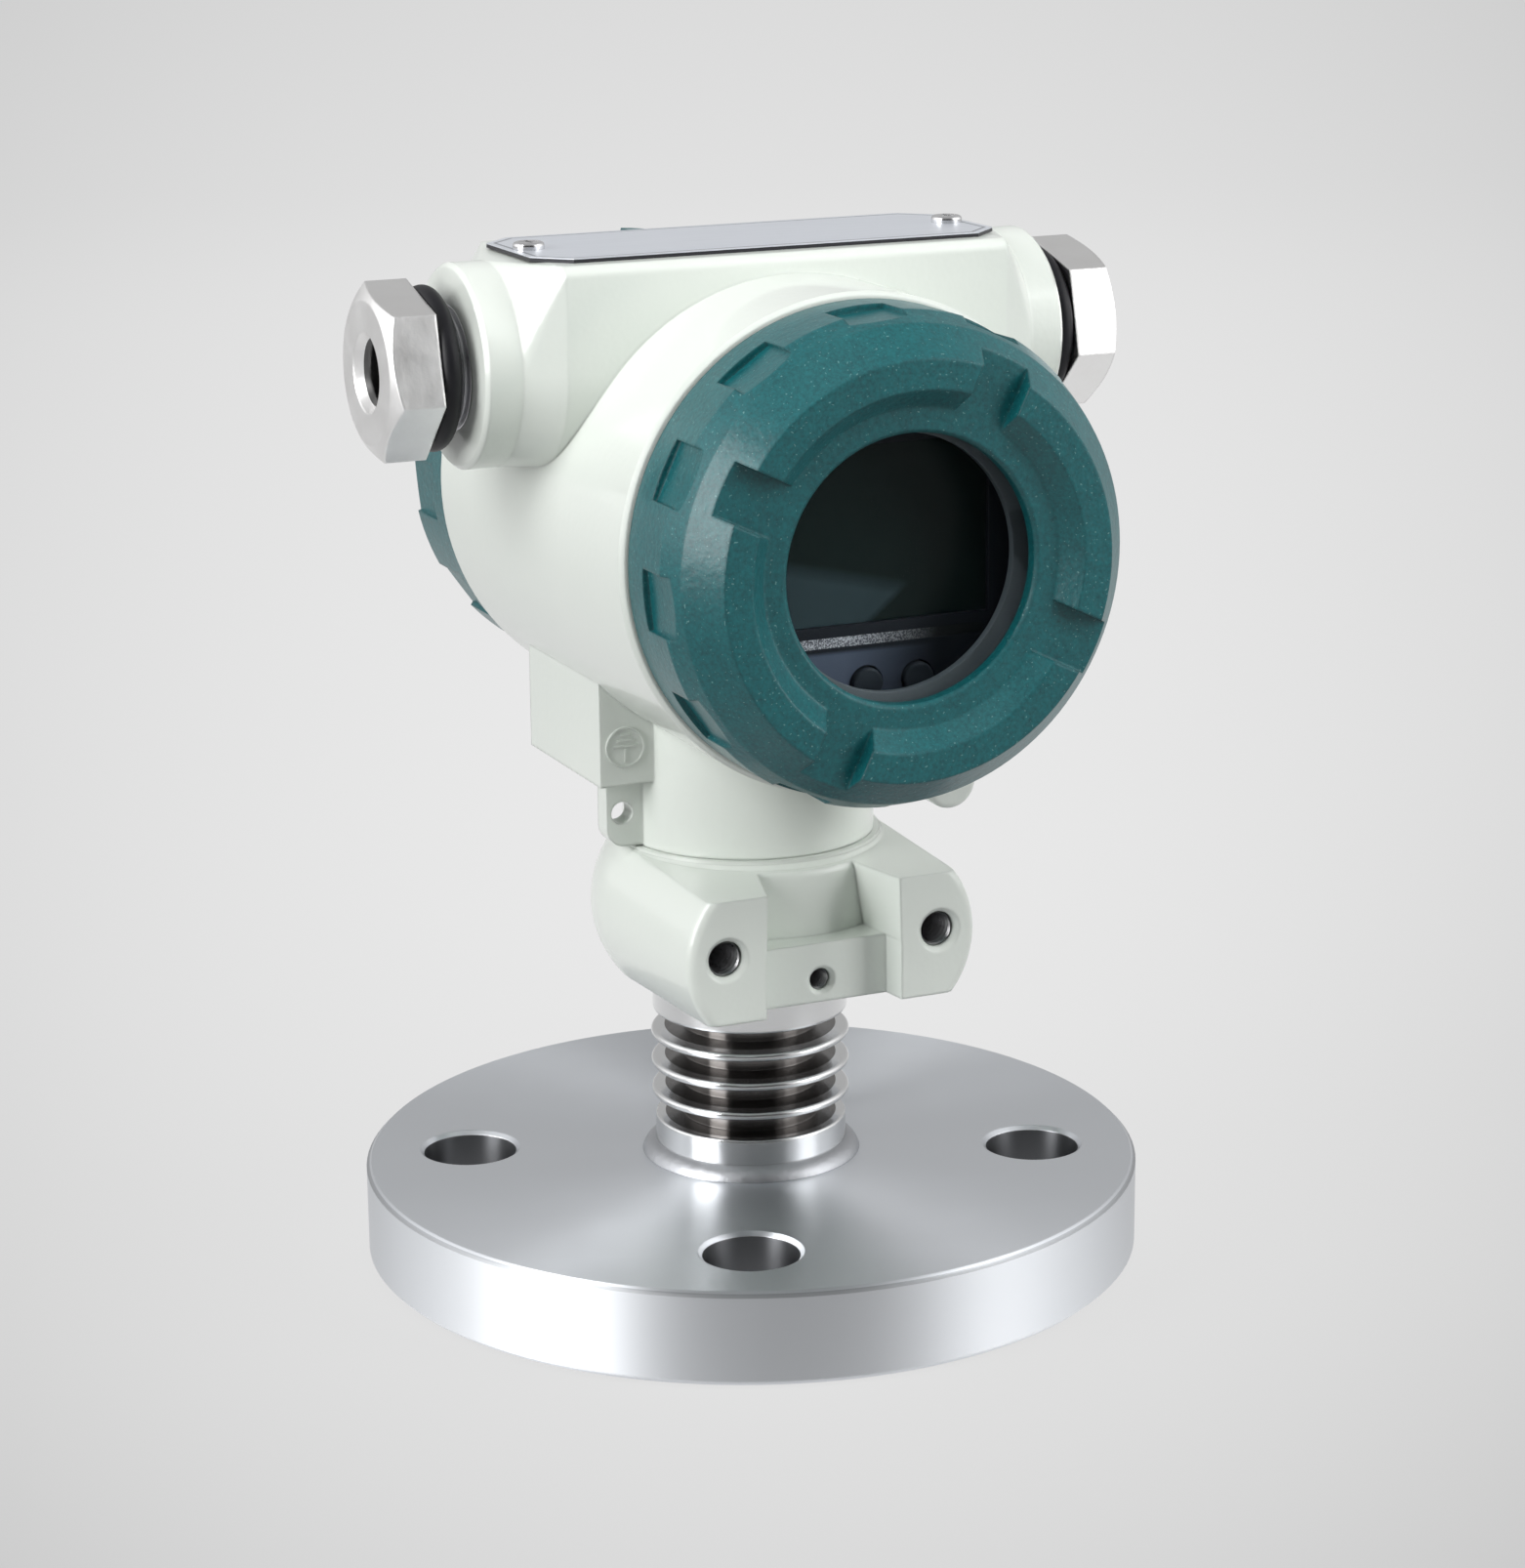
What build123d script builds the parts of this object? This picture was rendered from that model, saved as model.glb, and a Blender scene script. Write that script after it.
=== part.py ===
"""Flange pressure transmitter: a round steel flange with a flush diaphragm, a finned cooling
neck, a cast sensor body and a two-compartment electronics housing with screwed covers.

Millimetres. Origin at the centre of the flange's sealing face, +Z up. The window cover faces
-Y, the terminal cover +Y, and the two conduit entries lie on the X axis.
"""
import os
from math import sqrt

from build123d import *

os.makedirs("parts", exist_ok=True)

# Flange, DN 40 PN 16 sizes
flange_diameter = 150.0
flange_thickness = 18.0
flange_rim_chamfer = 1.0
bolt_circle_diameter = 110.0
bolt_hole_diameter = 18.0
bolt_hole_chamfer = 0.8
bolt_hole_count = 4
bolt_pattern_turn = 24.0
diaphragm_recess_diameter = 60.0
diaphragm_recess_depth = 1.6
neck_spigot_radius = 12.0
neck_spigot_depth = 8.0
oil_channel_radius = 1.5

# Isolating diaphragm
diaphragm_clearance = 0.1
diaphragm_skin = 0.35
diaphragm_rim_width = 4.0
diaphragm_wave_height = 0.5
diaphragm_waves = 4
diaphragm_face_height = 0.55

# Cooling neck
body_spigot_radius = 15.0
collar_radius = 18.5
collar_top = 25.6
weld_leg = 2.7
weld_crown_share = 0.62
fin_radius = 19.2
fin_count = 3
fin_first_height = 30.6
fin_pitch = 5.9
fin_rim_thickness = 1.6
fin_root_thickness = 2.6
fin_root_radius = 13.0
top_ring_radius = 18.8
top_ring_bottom = 47.1

# Sensor body casting
body_bottom = 56.2
body_top = 82.4
body_half_width = 30.4
body_side_radius = 20.0
body_front_reach = 38.8
body_draft = 2.0
body_socket_depth = 6.0
core_radius = 28.2
ledge_height = 68.8
body_face_edge = 1.8
slot_narrowing = 0.6
tool_overshoot = 1.0
tool_headroom = 5.0
block_reach = 33.0
slot_front_half = 13.9
slot_back_half = 12.0
pocket_roof_half = 8.3
pocket_back_reach = 24.0
pocket_crest_radius = 2.4
bracket_hole_spacing = 43.0
bracket_hole_height = 70.0
bracket_hole_radius = 3.4
bracket_hole_depth = 14.0
bracket_countersink = 0.9
centre_hole_height = 61.6
centre_hole_radius = 2.1
centre_hole_depth = 10.0
centre_countersink = 0.7
seat_ring_radius = 25.2
seat_ring_height = 0.6
seat_ring_root = 0.5
stub_radius = 15.9
stub_top = 96.0

# Electronics housing casting
cover_axis_height = 146.4
barrel_radius = 45.0
barrel_front = 48.5
barrel_back = 43.5
barrel_edge_chamfer = 0.8
thread_neck_radius = 38.3
thread_neck_length = 13.5
compartment_radius = 33.5
front_floor = 14.0
back_floor = 8.0
conduit_axis_rise = 29.2
hub_radius = 18.6
hub_reach = 57.4
hub_edge_chamfer = 0.8
conduit_bore_radius = 10.0
conduit_bore_floor = 19.0
box_straight_half = 43.4
box_end_half = 50.5
box_half_depth = 22.0
box_crown = 0.8
box_edge = 2.0
box_end_flat = 0.1
box_belly_flat = 3.4
housing_neck_radius = 24.0
housing_neck_gap = 0.1
housing_neck_bore_clearance = 0.1
neck_bore_length = 17.0
wire_way_radius = 5.0
wire_way_reach = 17.0
wire_way_length = 16.0

# Earth terminal block and tab on the left of the neck
earth_block_left = 33.3
earth_block_width = 19.0
earth_block_front = 8.0
earth_block_depth = 36.0
earth_block_bottom = 96.2
earth_block_drop = 26.4
earth_tab_left = 30.8
earth_tab_front = 4.5
earth_tab_thickness = 4.5
earth_tab_bottom = 83.4
earth_tab_corner = 3.6
earth_tab_root = 2.0
earth_tab_inner = 20.0
earth_hole_x = 27.7
earth_hole_height = 89.9
earth_hole_radius = 2.2

# Boss under the front right of the barrel
lower_boss_angle = -66.4
lower_boss_radius = 5.0
lower_boss_reach = 50.2
lower_boss_edge = 1.2
lower_boss_front = 46.5
lower_boss_length = 13.0

# Rotation lock screw at the back of the housing neck
neck_screw_height = 90.0
neck_screw_radius = 2.0
neck_screw_clearance = 0.05
neck_screw_recess = 0.6
neck_screw_length = 6.5
neck_screw_socket = 2.0
neck_screw_socket_depth = 2.5

# Sensor plug
connector_radius = 6.0
connector_height = 2.4
connector_pins = 4
connector_pin_radius = 0.5
connector_pin_length = 1.2

# Screwed covers
cover_radius = 43.8
cover_gap_front = 0.7
cover_gap_back = 1.6
cover_thread_clearance = 0.3
thread_end_gap = 0.5
rim_length_front = 14.0
rim_length_back = 18.0
rim_taper = 1.8
rim_taper_length = 4.8
bevel_inner_radius = 36.8
bevel_depth = 6.5
back_bevel_depth = 6.0
face_ring_inner = 31.6
face_ring_slope = 3.5
face_ring_depth = 3.5
notch_count = 4
notch_reach = 20.0
notch_width = 9.8
pocket_count = 12
pocket_width = 11.0
pocket_floor_radius = 42.6
pocket_rear_lip = 6.5
pocket_phase = 5.2
notch_phase = 64.0
window_radius = 23.7
window_bevel = 0.6
glass_radius = 28.0
glass_thickness = 3.4
glass_radial_clearance = 0.3
glass_stack_gap = 0.2
gasket_thickness = 0.5
gasket_width = 3.6
retaining_ring_inner = 22.8
retaining_ring_thickness = 1.6
o_ring_section = 3.0
o_ring_seat_gap = 0.05
o_ring_groove_clearance = 0.3
front_recess_depth = 2.7
back_recess_depth = 1.8

# Display module and electronics in the front compartment
display_face = 56.5
display_radius = 32.9
display_thickness = 9.0
bezel_edge = 0.6
screen_half_width = 22.0
screen_rise = 19.6
screen_drop = 12.0
screen_recess = 1.0
screen_thickness = 1.6
strip_drop = 14.0
strip_height = 1.8
strip_half_width = 21.0
strip_thickness = 0.6
button_middle_x = -2.0
button_drop = 22.8
button_spacing = 10.0
button_radius = 2.9
button_proud = 1.0
button_travel = 0.6
button_foot_gap = 0.2
button_edge = 0.5
button_clearance = 0.3
board_radius = 31.5
board_thickness = 1.6
power_board_reach = 20.0
main_board_reach = 33.0
component_height = 4.0
chip_pitch = 24.0
chip_size = 9.0
spacer_radius = 2.5
spacer_circle = 27.0
spacer_count = 3

# Terminal block in the back compartment
terminal_radius = 31.0
terminal_thickness = 14.0
terminal_step = 5.0
terminal_count = 3
terminal_spacing = 13.0
terminal_block_width = 11.0
terminal_drop = 8.4
terminal_cut_rise = 11.6
terminal_screw_radius = 3.0
terminal_screw_gap = 0.4
terminal_screw_height = 3.6
terminal_slot_width = 1.0
terminal_slot_depth = 1.2

# Nameplate on the conduit box
plate_length = 92.0
plate_width = 34.0
plate_thickness = 0.8
plate_corner = 6.0
plate_screw_x = 42.0
plate_screw_shank = 1.2
plate_screw_head_radius = 2.9
plate_screw_head_height = 1.3
plate_screw_edge = 0.7
plate_screw_cross_width = 0.7
plate_screw_cross_length = 3.48
plate_screw_cross_depth = 0.8
plate_screw_length = 5.0
plate_screw_clearance = 0.1

# Conduit plugs
hexagon_sides = 6
plug_flats = 28.2
plug_length = 9.4
plug_turn = 16.0
plug_stand = 16.0
blank_plug_stand = 14.1
blank_plug_length = 9.4
plug_collar_radius = 11.0
plug_end_drop = 1.6
plug_end_flat_inset = 1.2
plug_thread_length = 14.0
plug_thread_clearance = 0.05
plug_mouth_radius = 7.3
plug_bore_radius = 5.6
plug_mouth_depth = 2.6
seal_width = 3.9
seal_centre = 13.0

# Worked-out places
weld_crown = weld_leg * weld_crown_share
board_positions = (power_board_reach, main_board_reach)
conduit_axis_height = cover_axis_height + conduit_axis_rise
box_top = conduit_axis_height + hub_radius + box_crown
earth_block_top = cover_axis_height - earth_block_drop
earth_block_x = earth_block_width / 2 - earth_block_left
earth_tab_top = earth_block_bottom + earth_tab_root
screen_top = cover_axis_height + screen_rise
screen_bottom = cover_axis_height - screen_drop
strip_top = cover_axis_height - strip_drop
strip_bottom = strip_top - strip_height
button_height = cover_axis_height - button_drop
terminal_height = cover_axis_height - terminal_drop
terminal_cut_height = cover_axis_height + terminal_cut_rise
neck_axis = Axis.Z
cover_axis = Axis((0, 0, cover_axis_height), (0, 1, 0))
conduit_axis = Axis((0, 0, conduit_axis_height), (1, 0, 0))
body_middle = (body_bottom + body_top) / 2
body_edge_drop = (body_top - body_bottom) / 2
side_sagitta = body_side_radius - sqrt(body_side_radius**2 - body_edge_drop**2)
body_edge_half = body_half_width - side_sagitta
seat_top = body_top + seat_ring_height
housing_bottom = seat_top + housing_neck_gap
box_bottom = conduit_axis_height - hub_radius
box_height = box_top - box_bottom
box_middle = (box_top + box_bottom) / 2
front_mouth = barrel_front + thread_neck_length
back_mouth = barrel_back + thread_neck_length
plug_corner_radius = plug_flats / sqrt(3)
plug_end = hub_reach + plug_stand
blank_plug_end = hub_reach + blank_plug_stand


def save(part, name):
    """Label one finished piece and write its file."""
    part.label = name
    export_step(part, os.path.join("parts", f"{name}.step"))


def from_axis(radius):
    """Height of a point straight above the cover axis at a radius."""
    return cover_axis_height + radius


# Flange: disc with bolt holes, socket for the neck, recess for the diaphragm
with BuildPart() as flange:
    with BuildSketch(Plane.XY):
        Circle(flange_diameter / 2)
    extrude(amount=flange_thickness)
    chamfer(flange.edges().filter_by(GeomType.CIRCLE), flange_rim_chamfer)
    with BuildSketch(Plane.XY):
        with PolarLocations(
            bolt_circle_diameter / 2, bolt_hole_count, start_angle=90 - bolt_pattern_turn
        ):
            Circle(bolt_hole_diameter / 2)
    extrude(amount=flange_thickness, mode=Mode.SUBTRACT)
    bolt_mouths = flange.edges().filter_by(
        lambda e: e.geom_type == GeomType.CIRCLE and abs(e.radius - bolt_hole_diameter / 2) < 0.01
    )
    chamfer(bolt_mouths, bolt_hole_chamfer)
    with BuildSketch(Plane.XY):
        Circle(diaphragm_recess_diameter / 2)
    extrude(amount=diaphragm_recess_depth, mode=Mode.SUBTRACT)
    with BuildSketch(Plane.XY.offset(flange_thickness - neck_spigot_depth)):
        Circle(neck_spigot_radius)
    extrude(amount=neck_spigot_depth, mode=Mode.SUBTRACT)
    with BuildSketch(Plane.XY):
        Circle(oil_channel_radius)
    extrude(amount=flange_thickness, mode=Mode.SUBTRACT)
save(flange.part, "flange")

# Isolating diaphragm: thin corrugated disc with a flat welded rim
diaphragm_radius = diaphragm_recess_diameter / 2 - diaphragm_clearance
wave_outer = diaphragm_radius - diaphragm_rim_width
wave_width = wave_outer / (2 * diaphragm_waves)
with BuildPart() as diaphragm:
    with BuildSketch(Plane.XZ) as diaphragm_profile:
        with BuildLine():
            lower = Polyline(
                (0, diaphragm_face_height + diaphragm_skin),
                (0, diaphragm_face_height),
            )
            for index in range(2 * diaphragm_waves):
                rise = diaphragm_wave_height / 2 if index % 2 else -diaphragm_wave_height / 2
                ThreePointArc(
                    (index * wave_width, diaphragm_face_height),
                    ((index + 0.5) * wave_width, diaphragm_face_height + rise),
                    ((index + 1) * wave_width, diaphragm_face_height),
                )
            Polyline(
                (wave_outer, diaphragm_face_height),
                (diaphragm_radius, diaphragm_face_height),
                (diaphragm_radius, diaphragm_recess_depth),
                (wave_outer, diaphragm_recess_depth),
                (wave_outer, diaphragm_face_height + diaphragm_skin),
            )
            for index in range(2 * diaphragm_waves):
                rise = diaphragm_wave_height / 2 if index % 2 else -diaphragm_wave_height / 2
                top = diaphragm_face_height + diaphragm_skin
                ThreePointArc(
                    (index * wave_width, top),
                    ((index + 0.5) * wave_width, top + rise),
                    ((index + 1) * wave_width, top),
                )
        make_face()
    revolve(axis=neck_axis)
save(diaphragm.part, "isolating_diaphragm")

# Cooling neck: one turned piece with a collar, three fins and a top ring
neck_spigot_bottom = flange_thickness - neck_spigot_depth
with BuildPart() as cooling_neck:
    with BuildSketch(Plane.XZ):
        with BuildLine():
            Polyline(
                (0, neck_spigot_bottom),
                (neck_spigot_radius, neck_spigot_bottom),
                (neck_spigot_radius, flange_thickness),
                (collar_radius, flange_thickness),
                (collar_radius, collar_top),
                (fin_root_radius, collar_top),
                (fin_root_radius, top_ring_bottom),
                (top_ring_radius, top_ring_bottom),
                (top_ring_radius, body_bottom),
                (body_spigot_radius, body_bottom),
                (body_spigot_radius, body_bottom + body_socket_depth),
                (0, body_bottom + body_socket_depth),
                close=True,
            )
        make_face()
    revolve(axis=neck_axis)
    for index in range(fin_count):
        middle = fin_first_height + index * fin_pitch
        with BuildSketch(Plane.XZ):
            with BuildLine():
                Polyline(
                    (fin_root_radius - 1, middle - fin_root_thickness / 2),
                    (fin_root_radius, middle - fin_root_thickness / 2),
                    (fin_radius - fin_rim_thickness / 2, middle - fin_rim_thickness / 2),
                )
                ThreePointArc(
                    (fin_radius - fin_rim_thickness / 2, middle - fin_rim_thickness / 2),
                    (fin_radius, middle),
                    (fin_radius - fin_rim_thickness / 2, middle + fin_rim_thickness / 2),
                )
                Polyline(
                    (fin_radius - fin_rim_thickness / 2, middle + fin_rim_thickness / 2),
                    (fin_root_radius, middle + fin_root_thickness / 2),
                    (fin_root_radius - 1, middle + fin_root_thickness / 2),
                    (fin_root_radius - 1, middle - fin_root_thickness / 2),
                )
            make_face()
        revolve(axis=neck_axis)
    rim_edges = cooling_neck.edges().filter_by(
        lambda e: e.geom_type == GeomType.CIRCLE
        and e.radius > collar_radius - 0.01
        and min(abs(e.center().Z - z) for z in (collar_top, top_ring_bottom)) < 0.01
    )
    fillet(rim_edges, 0.5)
save(cooling_neck.part, "cooling_neck")

# Weld bead between the flange and the neck's collar
with BuildPart() as neck_weld:
    with BuildSketch(Plane.XZ):
        with BuildLine():
            Line((collar_radius, flange_thickness), (collar_radius + weld_leg, flange_thickness))
            ThreePointArc(
                (collar_radius + weld_leg, flange_thickness),
                (collar_radius + weld_crown, flange_thickness + weld_crown),
                (collar_radius, flange_thickness + weld_leg),
            )
            Line((collar_radius, flange_thickness + weld_leg), (collar_radius, flange_thickness))
        make_face()
    revolve(axis=neck_axis)
save(neck_weld.part, "neck_weld")

# Tool that opens the pocket between the two ears, above the ledge
with BuildPart() as pocket_tool:
    with BuildSketch(Plane.XY.offset(ledge_height)):
        Polygon(
            (-slot_front_half, -body_front_reach - 2 * tool_overshoot),
            (slot_front_half, -body_front_reach - 2 * tool_overshoot),
            (slot_back_half, -pocket_back_reach),
            (-slot_back_half, -pocket_back_reach),
            align=None,
        )
    with BuildSketch(Plane.XY.offset(body_top + 2)):
        Polygon(
            (-slot_front_half, -body_front_reach - 2 * tool_overshoot),
            (slot_front_half, -body_front_reach - 2 * tool_overshoot),
            (pocket_roof_half, -pocket_back_reach),
            (-pocket_roof_half, -pocket_back_reach),
            align=None,
        )
    loft()
    with BuildSketch(Plane.XZ) as core_profile:
        with Locations((core_radius / 2, (ledge_height - tool_overshoot + body_top) / 2)):
            Rectangle(core_radius, body_top - ledge_height + tool_overshoot)
        crest = core_profile.vertices().group_by(Axis.Y)[-1].sort_by(Axis.X)[-1]
        fillet(crest, pocket_crest_radius)
    revolve(axis=neck_axis, mode=Mode.SUBTRACT)
    with BuildSketch(Plane.XY.offset(body_top)):
        Circle(core_radius - pocket_crest_radius)
    extrude(amount=tool_headroom, mode=Mode.SUBTRACT)

# Sensor body: round-sided casting, two ears to the front with bracket holes
with BuildPart() as sensor_body:
    with BuildSketch(Plane.XZ):
        with BuildLine():
            Line((-body_edge_half, body_bottom), (body_edge_half, body_bottom))
            ThreePointArc(
                (body_edge_half, body_bottom), (body_half_width, body_middle), (body_edge_half, body_top)
            )
            Line((body_edge_half, body_top), (-body_edge_half, body_top))
            ThreePointArc(
                (-body_edge_half, body_top), (-body_half_width, body_middle), (-body_edge_half, body_bottom)
            )
        make_face()
    extrude(amount=body_front_reach, taper=body_draft)
    front_edges = sensor_body.faces().sort_by(Axis.Y)[0].edges()
    fillet(front_edges.filter_by(lambda e: e.geom_type != GeomType.LINE), body_face_edge)
    with BuildSketch(Plane.XZ):
        with BuildLine():
            Line((0, body_bottom), (body_edge_half, body_bottom))
            ThreePointArc(
                (body_edge_half, body_bottom), (body_half_width, body_middle), (body_edge_half, body_top)
            )
            Line((body_edge_half, body_top), (0, body_top))
            Line((0, body_top), (0, body_bottom))
        make_face()
    revolve(axis=neck_axis)
    with BuildSketch(Plane.XY.offset(body_bottom - tool_overshoot)):
        Polygon(
            (-slot_front_half, -body_front_reach - 2 * tool_overshoot),
            (slot_front_half, -body_front_reach - 2 * tool_overshoot),
            (slot_front_half - slot_narrowing, -block_reach),
            (-slot_front_half + slot_narrowing, -block_reach),
            align=None,
        )
    extrude(amount=ledge_height - body_bottom + tool_overshoot, mode=Mode.SUBTRACT)
    add(pocket_tool.part, mode=Mode.SUBTRACT)
    with BuildSketch(Plane.XY.offset(body_top - seat_ring_root)):
        Circle(seat_ring_radius)
    extrude(amount=seat_ring_height + seat_ring_root)
    with BuildSketch(Plane.XY.offset(seat_top)):
        Circle(stub_radius)
    extrude(amount=stub_top - seat_top)
    with BuildSketch(Plane.XY.offset(body_bottom)):
        Circle(body_spigot_radius)
    extrude(amount=body_socket_depth, mode=Mode.SUBTRACT)
    ear_face = Plane((0, -body_front_reach, bracket_hole_height), x_dir=(1, 0, 0), z_dir=(0, -1, 0))
    with Locations(ear_face):
        with GridLocations(bracket_hole_spacing, 0, 2, 1):
            CounterSinkHole(
                bracket_hole_radius, bracket_hole_radius + bracket_countersink, bracket_hole_depth, 90
            )
    block_face = Plane((0, -block_reach, centre_hole_height), x_dir=(1, 0, 0), z_dir=(0, -1, 0))
    with Locations(block_face):
        CounterSinkHole(
            centre_hole_radius, centre_hole_radius + centre_countersink, centre_hole_depth, 90
        )
save(sensor_body.part, "sensor_body")

# Sensor plug on top of the stub
with BuildPart() as sensor_connector:
    with BuildSketch(Plane.XY.offset(stub_top)):
        Circle(connector_radius)
    extrude(amount=connector_height)
    with BuildSketch(Plane.XY.offset(stub_top + connector_height)):
        with PolarLocations(connector_radius / 2, connector_pins):
            Circle(connector_pin_radius)
    extrude(amount=connector_pin_length)
save(sensor_connector.part, "sensor_connector")

# Conduit box above the barrel: a straight middle that runs out into the round hubs at both ends
with BuildPart() as conduit_box:
    with BuildSketch(Plane.YZ.offset(-box_straight_half)) as box_profile:
        with Locations((0, box_middle)):
            Rectangle(2 * box_half_depth, box_height)
        fillet(box_profile.vertices().group_by(Axis.Y)[-1], box_edge)
        fillet(box_profile.vertices().group_by(Axis.Y)[0], box_half_depth - box_belly_flat)
    extrude(amount=2 * box_straight_half)
    for side in (-1, 1):
        with BuildSketch(Plane.YZ.offset(side * box_straight_half)) as end_profile:
            with Locations((0, box_middle)):
                Rectangle(2 * box_half_depth, box_height)
            fillet(end_profile.vertices().group_by(Axis.Y)[-1], box_edge)
            fillet(end_profile.vertices().group_by(Axis.Y)[0], box_half_depth - box_belly_flat)
        with BuildSketch(Plane.YZ.offset(side * box_end_half)):
            with Locations((0, conduit_axis_height)):
                RectangleRounded(2 * hub_radius, 2 * hub_radius, hub_radius - box_end_flat)
        loft(ruled=True)

# Electronics housing casting
with BuildPart() as housing:
    with BuildSketch(Plane.XZ.offset(barrel_front)):
        with Locations((0, cover_axis_height)):
            Circle(barrel_radius)
    extrude(amount=-(barrel_front + barrel_back))
    chamfer(housing.edges().filter_by(GeomType.CIRCLE), barrel_edge_chamfer)
    with BuildSketch(Plane.XZ.offset(front_mouth)):
        with Locations((0, cover_axis_height)):
            Circle(thread_neck_radius)
    extrude(amount=-(front_mouth + back_mouth))
    add(conduit_box.part)
    with BuildSketch(Plane.YZ.offset(-hub_reach)):
        with Locations((0, conduit_axis_height)):
            Circle(hub_radius)
    extrude(amount=2 * hub_reach)
    hub_rims = housing.edges().filter_by(
        lambda e: e.geom_type == GeomType.CIRCLE and abs(abs(e.center().X) - hub_reach) < 0.01
    )
    chamfer(hub_rims, hub_edge_chamfer)
    with BuildSketch(Plane.XY.offset(housing_bottom)):
        Circle(housing_neck_radius)
    extrude(amount=cover_axis_height - barrel_radius / 2 - housing_bottom)
    with BuildSketch(Plane.XZ.offset(earth_block_front)) as block_profile:
        with Locations((earth_block_x, (earth_block_bottom + earth_block_top) / 2)):
            Rectangle(earth_block_width, earth_block_top - earth_block_bottom)
    extrude(amount=-earth_block_depth)
    with BuildSketch(Plane.XZ.offset(earth_tab_front)) as tab_profile:
        with Locations(
            (-(earth_tab_left + earth_tab_inner) / 2, (earth_tab_bottom + earth_tab_top) / 2)
        ):
            Rectangle(earth_tab_left - earth_tab_inner, earth_tab_top - earth_tab_bottom)
        tab_corner = tab_profile.vertices().group_by(Axis.Y)[0].sort_by(Axis.X)[0]
        fillet(tab_corner, earth_tab_corner)
        with Locations((-earth_hole_x, earth_hole_height)):
            Circle(earth_hole_radius, mode=Mode.SUBTRACT)
    extrude(amount=-earth_tab_thickness)
    with BuildSketch(Plane.XZ.offset(lower_boss_front)):
        with Locations((0, cover_axis_height)):
            with Locations(Rotation(0, 0, lower_boss_angle)):
                with Locations((lower_boss_reach, 0)):
                    Circle(lower_boss_radius)
                with Locations((lower_boss_reach - lower_boss_radius, 0)):
                    Rectangle(2 * lower_boss_radius, 2 * lower_boss_radius)
    extrude(amount=-lower_boss_length)
    boss_rim = housing.edges().filter_by(
        lambda e: e.geom_type == GeomType.CIRCLE
        and abs(e.radius - lower_boss_radius) < 0.01
        and abs(e.center().Y + lower_boss_front) < 0.01
    )
    fillet(boss_rim, lower_boss_edge)
    with BuildSketch(Plane.XZ.offset(front_mouth)):
        with Locations((0, cover_axis_height)):
            Circle(compartment_radius)
    extrude(amount=-(front_mouth - front_floor), mode=Mode.SUBTRACT)
    with BuildSketch(Plane.XZ.offset(back_floor)):
        with Locations((0, cover_axis_height)):
            Circle(compartment_radius)
    extrude(amount=-(back_mouth + back_floor), mode=Mode.SUBTRACT)
    for side in (-1, 1):
        bore_start = Plane(
            (side * hub_reach, 0, conduit_axis_height), x_dir=(0, 1, 0), z_dir=(-side, 0, 0)
        )
        with BuildSketch(bore_start):
            Circle(conduit_bore_radius)
        extrude(amount=hub_reach - conduit_bore_floor, mode=Mode.SUBTRACT)
    with BuildSketch(Plane.XY.offset(housing_bottom)):
        Circle(stub_radius + housing_neck_bore_clearance)
    extrude(amount=neck_bore_length, mode=Mode.SUBTRACT)
    with BuildSketch(Plane.XY.offset(housing_bottom + neck_bore_length)):
        with Locations((0, -wire_way_reach)):
            Circle(wire_way_radius)
    extrude(amount=wire_way_length, mode=Mode.SUBTRACT)
    with BuildSketch(Plane.XZ.offset(-housing_neck_radius)):
        with Locations((0, neck_screw_height)):
            Circle(neck_screw_radius + neck_screw_clearance)
    extrude(amount=housing_neck_radius - stub_radius, mode=Mode.SUBTRACT)
    for side in (-1, 1):
        with BuildSketch(Plane.XY.offset(box_top)):
            with Locations((side * plate_screw_x, 0)):
                Circle(plate_screw_shank + plate_screw_clearance)
        extrude(amount=-plate_screw_length, mode=Mode.SUBTRACT)
save(housing.part, "electronics_housing")

# Set screw that locks the housing's turn
with BuildPart() as neck_set_screw:
    with BuildSketch(Plane.XZ.offset(-housing_neck_radius + neck_screw_recess)):
        with Locations((0, neck_screw_height)):
            Circle(neck_screw_radius)
    extrude(amount=neck_screw_length)
    with BuildSketch(Plane.XZ.offset(-housing_neck_radius + neck_screw_recess)):
        with Locations((0, neck_screw_height)):
            RegularPolygon(neck_screw_socket / 2, hexagon_sides, major_radius=False)
    extrude(amount=neck_screw_socket_depth, mode=Mode.SUBTRACT)
save(neck_set_screw.part, "neck_set_screw")


def grip_cuts(face, side):
    """Tool with the hand pockets round a cover's rim and the spanner notches in its face."""
    with BuildPart() as cuts:
        with BuildSketch(Plane.XZ.offset(side * (barrel_front_edge(side) + pocket_rear_lip))):
            with Locations((0, cover_axis_height)):
                with PolarLocations(pocket_floor_radius + pocket_width / 2, pocket_count, pocket_phase):
                    Rectangle(pocket_width, pocket_width)
        extrude(amount=side * 2 * rim_length_front)
        with BuildSketch(Plane.XZ.offset(side * (face - face_ring_depth))):
            with Locations((0, cover_axis_height)):
                with PolarLocations(face_ring_inner + notch_reach / 4, notch_count, notch_phase):
                    Rectangle(notch_reach, notch_width)
        extrude(amount=side * 2 * face_ring_depth)
    return cuts.part


def barrel_front_edge(side):
    """Distance of a cover's inner edge from the neck axis, front (+1) or back (-1)."""
    return barrel_front + cover_gap_front if side > 0 else barrel_back + cover_gap_back


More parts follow.
